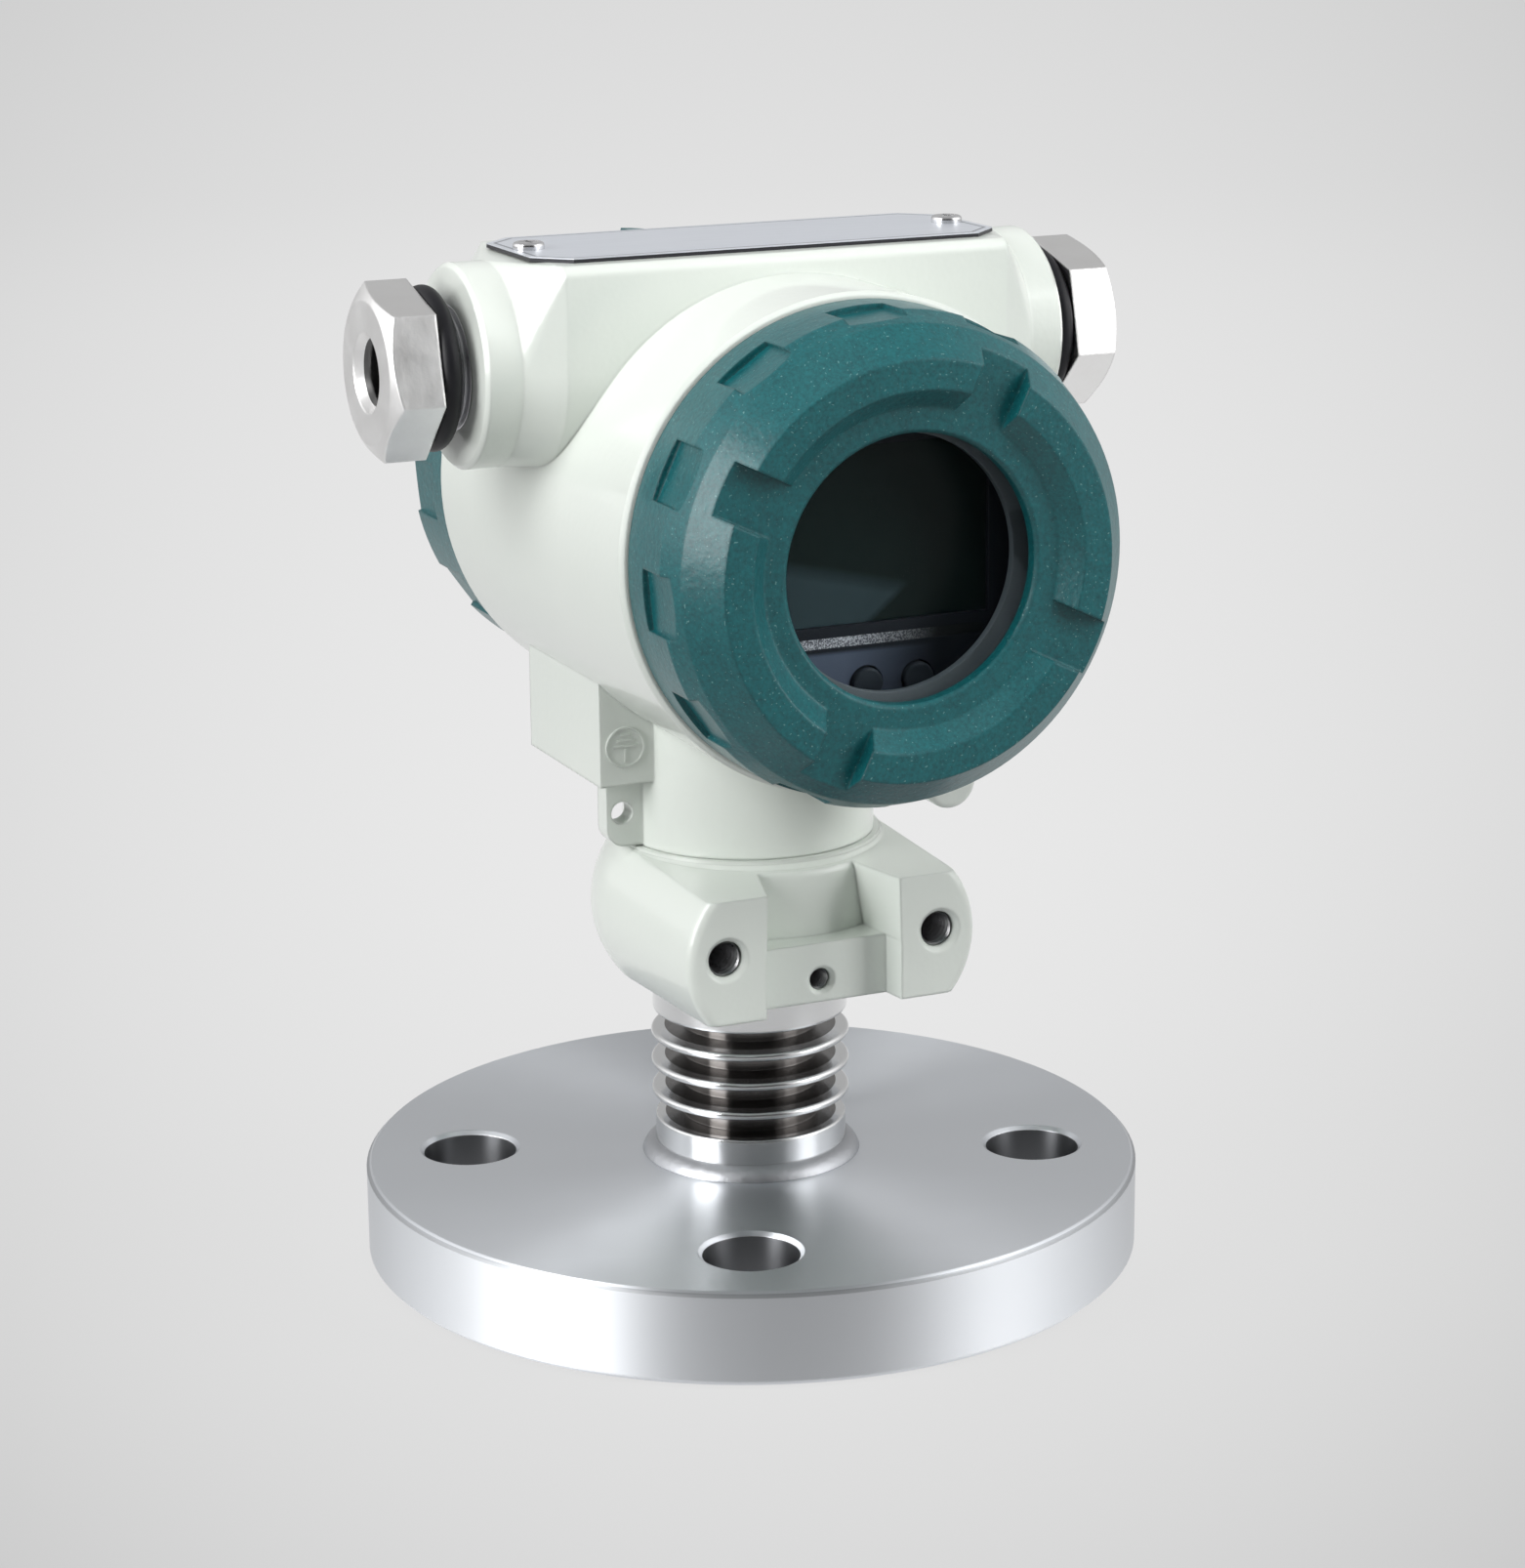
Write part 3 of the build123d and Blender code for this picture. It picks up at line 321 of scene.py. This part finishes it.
# %% Small metal pieces
def plain_metal(name, tone, roughness, scale, depth, soft_edge, bore_shade=None):
    """Metal with an uneven polish: one noise for roughness and a shallow bump of the same. Inside a
    bore_shade (radius, height of its axis along X) the tone is painted nearly black, as painted shade in
    the bore."""
    metal = Finish(name, Metallic=1.0)
    point = metal.place()
    patch = metal.noise(point, scale, detail=4.0, roughness=0.6)
    colour = metal.blend(patch, tone, lighter(tone, 1.15))
    if bore_shade:
        # Painted shade: the inside of the bore is painted nearly black.
        x, y, z = metal.axes(point)
        inside = 1 - ((y * y + (z - bore_shade[1]) ** 2) ** 0.5).above(bore_shade[0])
        colour = metal.blend(inside * 0.9, colour, (0.04, 0.04, 0.04, 1))
    normal = metal.bump(patch, depth, 0.0004, metal.soften(soft_edge))
    return metal.feed(Base_Color=colour, Roughness=roughness + (patch - 0.5) * 0.2, Normal=normal)


# %% Weld, screws, plugs and spacers
conduit_axis = 0.1756
weld_metal = plain_metal("ground_weld", (0.40, 0.41, 0.43, 1), 0.40, 700.0, 0.25, 0.0003)
screw_metal = plain_metal("bright_screw", (0.72, 0.72, 0.73, 1), 0.20, 700.0, 0.08, 0.0002)
# The plugs' bores get painted shade.
nickel = plain_metal("nickel_plate", (0.90, 0.89, 0.88, 1), 0.33, 160.0, 0.20, 0.0006,
                     bore_shade=(0.0062, conduit_axis))
dull_steel = plain_metal("dull_steel", (0.50, 0.50, 0.52, 1), 0.38, 500.0, 0.10, 0.0002)
brass = plain_metal("turned_brass", (0.78, 0.58, 0.26, 1), 0.25, 500.0, 0.05, 0.0002)
for name, metal in {
    "neck_weld": weld_metal, "nameplate_screws": screw_metal, "terminal_screws": screw_metal,
    "neck_set_screw": dull_steel, "cable_plug": nickel, "blanking_plug": nickel,
    "board_spacers": brass,
}.items():
    wear(name, metal)

# %% [markdown]
# The nameplate is a satin aluminium sheet. It stays blank, but a real one has a thin dark line
# etched just inside its edge, which is worked out from the distance to the edge. Its sides are
# painted nearly black, as painted shade along the sheet's edge.

# %% Nameplate sheet
plate_low, plate_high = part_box("nameplate")
plate_half_length = (plate_high.x - plate_low.x) / 2
plate_half_width = (plate_high.y - plate_low.y) / 2
plate_corner, diagonal = 0.0060, 0.7071
line_outside, line_inside = 0.0011, 0.0017
sheet_thickness = 0.00015
print("nameplate", round(plate_half_length * 2000, 1), "x", round(plate_half_width * 2000, 1), "mm")

plate_sheet = Finish("etched_aluminium", Metallic=0.50, Roughness=0.38)
spot = plate_sheet.place()
x, y, z = plate_sheet.axes(spot)
to_end = plate_half_length - plate_sheet.size_of(x)
to_side = plate_half_width - plate_sheet.size_of(y)
to_corner = (to_end + to_side - plate_corner) * diagonal
nearest = to_end.maths("MINIMUM", to_end, to_side)
nearest = nearest.maths("MINIMUM", nearest, to_corner)
etched_line = nearest.above(line_outside) - nearest.above(line_inside)
brushed = plate_sheet.node("ShaderNodeMapping", {"vector_type": "POINT"}, {
    "Vector": spot, "Scale": (60.0, 2600.0, 60.0)})
strokes = plate_sheet.noise(brushed, 1.0, detail=2.0)
plate_colour = plate_sheet.blend(strokes, (0.62, 0.65, 0.71, 1), (0.72, 0.75, 0.80, 1))
plate_colour = plate_sheet.blend(etched_line * 0.7, plate_colour, (0.10, 0.11, 0.13, 1))
# Painted shade: the sheet's thin sides are painted nearly black.
edge_shade = 1 - z.above(plate_high.z - sheet_thickness)
plate_colour = plate_sheet.blend(edge_shade, plate_colour, (0.03, 0.03, 0.035, 1))
plate_sheet.feed(Base_Color=plate_colour, Normal=plate_sheet.bump(strokes, 0.12, 0.0001))
wear("nameplate", plate_sheet)

# %% [markdown]
# Rubber seals are nearly black with a soft sheen, and moulded plastic inside the housing has a
# fine spark-eroded grain. One function makes both, with its own grain and gloss.

# %% Rubber and plastics
def moulded(name, tone, roughness, grain_scale, depth, edge=0.0003, gloss=0.5):
    """A dark or coloured moulding: base tone with slight mottling and a fine grain."""
    plastic = Finish(name, Roughness=roughness, Specular_IOR_Level=gloss)
    point = plastic.place()
    mottle = plastic.noise(point, 60.0)
    fine = plastic.noise(point, grain_scale, detail=1.0)
    colour = plastic.blend(mottle, tone, lighter(tone, 1.25))
    return plastic.feed(Base_Color=colour, Normal=plastic.bump(fine, depth, 0.0002, plastic.soften(edge)))


# %% Seals and mouldings
seal_rubber = moulded("seal_rubber", (0.007, 0.007, 0.009, 1), 0.45, 1500.0, 0.06, gloss=0.30)
black_plastic = moulded("black_plastic", (0.014, 0.014, 0.015, 1), 0.45, 2500.0, 0.2)
bezel_plastic = moulded("bezel_plastic", (0.026, 0.031, 0.042, 1), 0.40, 2600.0, 0.12, gloss=0.2)
button_plastic = moulded("button_plastic", (0.034, 0.041, 0.052, 1), 0.30, 2600.0, 0.08, gloss=0.3)
board_laminate = moulded("board_laminate", (0.010, 0.085, 0.035, 1), 0.35, 900.0, 0.05)
ring_black = moulded("black_anodised", (0.150, 0.172, 0.190, 1), 0.35, 1800.0, 0.05)
for name, plastic in {
    "front_cover_o_ring": seal_rubber, "rear_cover_o_ring": seal_rubber, "window_gasket": seal_rubber,
    "cable_plug_o_ring": seal_rubber, "blanking_plug_o_ring": seal_rubber,
    "terminal_block": black_plastic, "sensor_connector": black_plastic, "display_bezel": bezel_plastic,
    "left_button": button_plastic, "middle_button": button_plastic, "right_button": button_plastic,
    "display_board": board_laminate, "power_board": board_laminate, "main_board": board_laminate,
    "glass_retaining_ring": ring_black,
}.items():
    wear(name, plastic)

# %% [markdown]
# The display is switched off: a nearly black green glass with a paler patch at its lower left,
# where a soft box lights the polariser. The patch ends at two slanted lines, each written as a
# height or a width that changes with a slope: z under top - slope * x, and x left of a line in z.

# %% Switched-off screen
screen_low, screen_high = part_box("lcd_panel")
print("screen from", tuple(screen_low), "to", tuple(screen_high))
patch_top, top_slope = 0.1421, 0.235
patch_right, right_slope, right_start = 0.0069, 1.2, 0.1405
dark_glass, lit_glass = (0.010, 0.020, 0.019, 1), (0.050, 0.078, 0.090, 1)

screen = Finish("dark_display", Roughness=0.25, Specular_IOR_Level=0.15)
x, y, z = screen.axes(screen.place())
under_line = ramped(patch_top - x * top_slope - z, -0.0008, 0.0024)
left_of_line = ramped(patch_right - (right_start - z) * right_slope - x, -0.0004, 0.0018)
screen.feed(Base_Color=screen.blend(under_line * left_of_line, dark_glass, lit_glass))
wear("lcd_panel", screen)

# %% [markdown]
# The strip's paint holds fine metal flakes: a noise with its contrast raised. It fades where the
# window's wall shades it, and so does the keypad below it, which is lit only under its top edge.

# %% Strip and keypad
flake_scale = 3800.0
strip_paint = Finish("speckled_strip", Roughness=0.5)
spot = strip_paint.place()
speckles = ramped(strip_paint.noise(spot, flake_scale, detail=1.0), 0.40, 0.62)
strip_colour = strip_paint.blend(speckles, (0.12, 0.12, 0.15, 1), (0.80, 0.80, 0.86, 1))
fading = ramped(strip_paint.axes(spot)[0], -0.006, 0.012)
strip_paint.feed(Base_Color=strip_paint.blend(fading, strip_colour, (0.010, 0.012, 0.014, 1)))
wear("display_strip", strip_paint)

keypad_top = 0.1300
x, y, z = bezel_plastic.axes(bezel_plastic.place())
lit = ramped(0.0 - x, -0.012, 0.006) * ramped(keypad_top - z, 0.0, 0.0008)
key_field = bezel_plastic.blend(lit, (0.018, 0.021, 0.029, 1), (0.125, 0.150, 0.215, 1))
bezel_plastic.feed(Base_Color=key_field)

# %% [markdown]
# Clear glass lets light straight through and mirrors a share of it that grows at a glancing
# angle: share = 0.5 * facing^3, where facing is 0 head on and 1 edge on, as on a coated pane. It
# mixes a Transparent with a Glossy shader, and is the same on both sides of the pane.

# %% Window glass
pane = Finish("window_pane")
clear = pane.node("ShaderNodeBsdfTransparent", sockets={"Color": (0.93, 0.95, 0.95, 1)})
mirror = pane.node("ShaderNodeBsdfGlossy", sockets={"Color": grey(1.0), "Roughness": 0.02})
facing = pane.node("ShaderNodeLayerWeight", sockets={"Blend": 0.5}, out=1)
mixed = pane.node("ShaderNodeMixShader", sockets={0: facing ** 3 * 0.5, 1: clear, 2: mirror})
pane.tree.links.new(mixed.socket, pane.output.inputs[0])
pane.tree.nodes.remove(pane.shader)
wear("window_glass", pane)

# %% [markdown]
# New pieces are grids of points. Rows run along one parameter and columns along the other, and
# the same helper joins neighbours with four-sided faces, wrapping round where the shape closes.

# %% Grid helper
def grid_piece(name, points, finish, body, wrap_rows=False, wrap_columns=False, smooth=True):
    """A mesh from an array of shape rows x columns x 3: face (i, j) joins the points (i, j),
    (i+1, j), (i+1, j+1) and (i, j+1)."""
    rows, columns = points.shape[:2]
    index = np.arange(rows * columns).reshape(rows, columns)
    below = np.roll(index, -1, 0) if wrap_rows else index[1:]
    here = index if wrap_rows else index[:-1]
    if wrap_columns:
        corners = [here, below, np.roll(below, -1, 1), np.roll(here, -1, 1)]
    else:
        corners = [here[:, :-1], below[:, :-1], below[:, 1:], here[:, 1:]]
    faces = np.stack(corners, -1).reshape(-1, 4)
    return mesh_piece(name, points.reshape(-1, 3), faces, finish, body, smooth)


def mesh_piece(name, points, faces, finish, body, smooth=True):
    """Puts points and four-sided faces into a mesh, paints it and lets it ride on a body."""
    mesh = bpy.data.meshes.new(name)
    mesh.vertices.add(len(points))
    mesh.vertices.foreach_set("co", np.ascontiguousarray(points, dtype=np.float32).ravel())
    mesh.loops.add(faces.size)
    mesh.loops.foreach_set("vertex_index", faces.ravel().astype(np.int32))
    mesh.polygons.add(len(faces))
    mesh.polygons.foreach_set("loop_start", np.arange(len(faces), dtype=np.int32) * 4)
    mesh.polygons.foreach_set("use_smooth", np.full(len(faces), smooth))
    mesh.update(calc_edges=True)
    mesh.validate()
    mesh.materials.append(finish.material)
    piece = bpy.data.objects.new(name, mesh)
    bpy.context.scene.collection.objects.link(piece)
    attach(piece, body)
    print(name, len(faces), "faces")
    return piece


# %% [markdown]
# The three holes on the front of the sensor body are tapped. A thread is a radius that swings
# between crest and root as the angle and the depth go round: radius = root - depth of thread
# times a triangle wave of (distance / pitch - angle / full turn).

# %% Threads in the tapped holes
def tapped_wall(name, centre, root, depth, pitch, start, length, finish, body):
    """Wall of a tapped hole that opens toward -Y. Columns go round the hole, and rows go in:
    y = start + t * length, and radius = root - depth * |2 * frac(y / pitch - angle / 2 pi) - 1|."""
    turn = np.linspace(0, 2 * np.pi, 49)[:-1]
    along = np.linspace(0, length, int(length / pitch * 10) + 1)
    s, a = np.meshgrid(along, turn, indexing="ij")
    wave = np.abs(2 * np.mod(s / pitch - a / (2 * np.pi), 1.0) - 1)
    radius = root - depth * wave
    points = np.stack([centre[0] + radius * np.cos(a), start + s, centre[1] + radius * np.sin(a)], -1)
    return grid_piece(name, points, finish, body, wrap_columns=True)


# %% The three tapped holes
tapped_steel = plain_metal("tapped_hole", (0.40, 0.40, 0.41, 1), 0.30, 900.0, 0.05, 0.0001)
ear_hole_root, ear_thread_depth, ear_pitch = 0.00338, 0.00055, 0.00125
ear_hole_side, ear_hole_height = 0.0215, 0.0700
centre_hole_root, centre_thread_depth, centre_pitch = 0.00208, 0.00040, 0.0008
centre_hole_height = 0.0616
for side, label in ((-1, "left"), (1, "right")):
    tapped_wall(f"{label}_ear_thread", (side * ear_hole_side, ear_hole_height), ear_hole_root,
                ear_thread_depth, ear_pitch, -0.0376, 0.0120, tapped_steel, "process_base")
tapped_wall("centre_hole_thread", (0.0, centre_hole_height), centre_hole_root,
            centre_thread_depth, centre_pitch, -0.0320, 0.0085, tapped_steel, "process_base")

# %% [markdown]
# The earth sign is cast in relief on the front of the block under the barrel: a ring, three bars that get
# longer downward, and a stem. Each is a flat-topped ridge with sloping sides, and its outline
# is a loop of points that is drawn three times: at the foot, at the shoulder and on the top.

# %% Earth sign in relief
sign_centre = np.array([-0.0283, 0.1036])
sign_face = -0.0080
sign_relief = 0.00035
sign_foot = -0.00005


def ridge(name, outlines, finish, body):
    """Stacks closed outlines of (x, z), each at its height above the block's face: y = face - height,
    with -Y outwards."""
    rings = [np.column_stack([o[:, 0], np.full(len(o), sign_face - h), o[:, 1]]) for o, h in outlines]
    return grid_piece(name, np.stack(rings), finish, body, wrap_columns=True, smooth=False)


def bar_outline(half_length, half_width, centre):
    """A rectangle round a centre, as a loop of four corners."""
    corners = np.array([(-1, -1), (-1, 1), (1, 1), (1, -1)]) * (half_length, half_width)
    return corners + sign_centre + centre


def raised_bar(name, half_length, half_width, centre):
    """A bar with sloping sides: foot, shoulder, and a last loop that closes the flat top."""
    inset = 0.00010
    foot = bar_outline(half_length, half_width, centre)
    top = bar_outline(half_length - inset, half_width - inset, centre)
    middle = bar_outline(inset / 10, inset / 10, centre)
    return ridge(name, [(foot, sign_foot), (top, sign_relief), (middle, sign_relief)],
                 white_coat, "housing")


# %% The sign's bars, stem and ring
half_stroke = 0.00029
bars = ((0.0011, 0.00235), (0.0018, 0.00127), (0.0025, 0.00018))
for number, (half_length, height) in enumerate(bars, 1):
    raised_bar(f"earth_sign_bar_{number}", half_length, half_stroke, (0, height))
raised_bar("earth_sign_stem", half_stroke, 0.00138, (0, -0.0015))

turn = np.linspace(0, 2 * np.pi, 65)[:-1]
ring_profile = ((0.0040, sign_foot), (0.0039, sign_relief), (0.00355, sign_relief), (0.00345, sign_foot))
sign_ring = [(sign_centre + r * np.column_stack([np.cos(turn), np.sin(turn)]), h) for r, h in ring_profile]
ridge("earth_sign_ring", sign_ring, white_coat, "housing")

# %% [markdown]
# Between the cable plug's seal and the hub a few turns of its thread show. They are the same
# swinging radius as in the tapped holes, but on the outside of a cylinder along X.

# %% Thread of the cable plug
def plug_thread(name, start, stop, root, depth, pitch):
    """Outer thread round the conduit axis: radius = root + depth * triangle wave."""
    turn = np.linspace(0, 2 * np.pi, 97)[:-1]
    along = np.linspace(0, 1, int(abs(stop - start) / pitch * 10) + 2)
    s, a = np.meshgrid(along, turn, indexing="ij")
    x = start + (stop - start) * s
    wave = np.abs(2 * np.mod(x / pitch - a / (2 * np.pi), 1.0) - 1)
    radius = root + depth * wave
    points = np.stack([x, radius * np.cos(a), conduit_axis + radius * np.sin(a)], -1)
    return grid_piece(name, points, dull_steel, "housing", wrap_columns=True)


seal_low, seal_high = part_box("cable_plug_o_ring")
seal_overlap, thread_end = 0.0004, -0.0575
plug_root, plug_thread_depth, plug_pitch = 0.0103, 0.0012, 0.0011
plug_thread("cable_plug_thread", seal_high.x - seal_overlap, thread_end,
            plug_root, plug_thread_depth, plug_pitch)

# %% [markdown]
# The studio is one pale floor that reaches past the picture's top edge, so it is the backdrop as
# well. Its own glow is brightest round the object and falls off as a circle does in the picture.
# From the viewpoint, a floor point at distance d along the view and b across it lies at
# u = b / (0.196 d) and v = (0.2846 / d - 0.2717) / 0.21, and the glow falls by 0.105 for each unit
# of u^2 + (v + 0.1)^2, but never under 0.62.

# %% Floor
reach, drop = 9.0, 0.0004
floor_corners = [(-reach, -reach, 0), (reach, -reach, 0), (reach, reach, 0), (-reach, reach, 0)]
floor_mesh = bpy.data.meshes.new("studio_floor")
floor_mesh.from_pydata(floor_corners, [], [(0, 1, 2, 3)])
floor = bpy.data.objects.new("studio_floor", floor_mesh)
bpy.context.scene.collection.objects.link(floor)
floor_mesh.transform(Matrix.Translation((0, 0, -drop)))
print("floor of", 2 * reach, "m")

# %% Floor paint and its glow
sight_x, sight_y, viewpoint_away = 0.408, 0.913, 0.713
half_width, half_height = 0.196, 0.21
viewpoint_height, middle_slope, glow_rise = 0.2846, 0.2717, 0.10
glow_peak, glow_fall, glow_least = 0.968, 0.105, 0.62
glow_share = 0.80

floor_paint = Finish("pale_floor", Roughness=0.9, Base_Color=grey(0.20), Specular_IOR_Level=0.0)
x, y, z = floor_paint.axes(floor_paint.place())
along = x * sight_x + y * sight_y + viewpoint_away
across = (x * sight_y - y * sight_x) / (along * half_width)
upright = (viewpoint_height / along - middle_slope) / half_height + glow_rise
glow_level = glow_peak - (across * across + upright * upright) * glow_fall
glow_level = glow_level.maths("MAXIMUM", glow_level, glow_least)
glow_colour = floor_paint.node("ShaderNodeCombineXYZ", sockets={
    0: glow_level, 1: glow_level, 2: glow_level})
ways = floor_paint.tree.nodes.new("ShaderNodeLightPath").outputs
seen = Value(floor_paint, ways["Is Camera Ray"]) + Value(floor_paint, ways["Is Glossy Ray"])
seen = seen + Value(floor_paint, ways["Is Transmission Ray"])
glow = floor_paint.node("ShaderNodeEmission", sockets={"Color": glow_colour, "Strength": 1.0})
plain = Value(floor_paint, floor_paint.shader.outputs[0])
shown = floor_paint.node("ShaderNodeMixShader", sockets={0: seen * glow_share, 1: plain, 2: glow})
floor_paint.tree.links.new(shown.socket, floor_paint.output.inputs[0])
floor_mesh.materials.append(floor_paint.material)
print("glow between", glow_least, "and", glow_peak)

# %% [markdown]
# Large soft boxes light the castings from both sides, from overhead and from behind. Metal
# mirrors only the left one and a weak one at the right. The others are hidden from mirrored rays,
# because their squares would burn white patches into the turned faces.

# %% Lamps
def soft_box(name, place, target, size, power, mirrored=True):
    """An area lamp at place that faces target. Metal doesn't show it where mirrored is false."""
    lamp = bpy.data.lights.new(name, "AREA")
    lamp.shape, lamp.size, lamp.size_y = "RECTANGLE", size[0], size[1]
    lamp.energy = power
    holder = bpy.data.objects.new(name, lamp)
    bpy.context.scene.collection.objects.link(holder)
    away = Vector(place) - Vector(target)
    holder.matrix_world = Matrix.Translation(place) @ away.to_track_quat("Z", "Y").to_matrix().to_4x4()
    holder.visible_glossy = mirrored
    print(name, power, "W at", place)


middle = (0.0, 0.0, 0.11)
soft_box("left_soft_box", (-1.30, -0.20, 0.60), middle, (0.75, 1.1), 18.0)
soft_box("right_soft_box", (0.98, -0.85, 0.55), middle, (0.6, 1.1), 4.5)
soft_box("right_fill", (0.98, -0.86, 0.55), middle, (0.6, 1.1), 8.0, mirrored=False)
soft_box("top_soft_box", (-0.10, -0.50, 1.38), middle, (1.1, 1.1), 12.0, mirrored=False)
soft_box("back_soft_box", (0.45, 1.20, 0.90), middle, (1.0, 1.0), 8.0, mirrored=False)

# %% [markdown]
# A dim sky fills the shadows. Polished metal shows what stands round it, so for mirrored rays the
# sky is a studio: dark toward the viewer, a bright wall on either side of that, and a grey
# backdrop. With c the cosine of the angle to the viewer's side, a ramp over (c + 1) / 2 gives
# these walls. They are dimmer near the horizon on the viewer's side, where flat steel seen from
# behind would mirror them, and grey overhead. The backdrop over the floor's edge is plain grey.

# %% Sky
sky = bpy.data.worlds.new("studio_sky")
sky.use_nodes = True
bpy.context.scene.world = sky


class Sky(Finish):
    """The world's node tree, with the same arithmetic as a material."""

    def __init__(self, tree):
        self.tree = tree
        self.tree.nodes.clear()
        self.output = self.tree.nodes.new("ShaderNodeOutputWorld")


# %% What the sky shows to each kind of ray
front_x, front_y, never_zero = -0.404, -0.915, 0.0004
fill_grey, overhead_grey = grey(0.40), grey(0.28)
fill_strength, backdrop_strength, studio_strength, horizon_dimming = 0.20, 1.1, 1.38, 0.58

air = Sky(sky.node_tree)
direction = air.node("ShaderNodeTexCoord", out="Generated")
x, y, z = air.axes(direction)
toward_front = (x * front_x + y * front_y) / (x * x + y * y + never_zero) ** 0.5
round_ramp = air.node("ShaderNodeValToRGB", {"stops": (
    (0.00, grey(0.31)), (0.12, grey(0.36)), (0.32, grey(0.80)), (0.44, grey(1.00)),
    (0.81, grey(0.92)), (0.87, grey(0.06)), (1.00, grey(0.035)))}, {0: toward_front * 0.5 + 0.5})
low_front = ramped(toward_front, -0.10, 0.25) * (1 - ramped(z, 0.44, 0.62))
mirrored_sky = air.blend(ramped(z, 0.55, 0.90), round_ramp, overhead_grey)
air_ways = air.tree.nodes.new("ShaderNodeLightPath").outputs
mirrored = Value(air, air_ways["Is Glossy Ray"])
looked_at = Value(air, air_ways["Is Camera Ray"])
looked_at = looked_at + Value(air, air_ways["Is Transmission Ray"])
studio = mirrored * (studio_strength - low_front * horizon_dimming)
sky_light = air.node("ShaderNodeBackground", sockets={
    "Color": air.blend(mirrored, fill_grey, mirrored_sky),
    "Strength": studio + looked_at * backdrop_strength + fill_strength})
air.tree.links.new(sky_light.socket, air.output.inputs[0])
bpy.context.scene.view_settings.view_transform = "Standard"
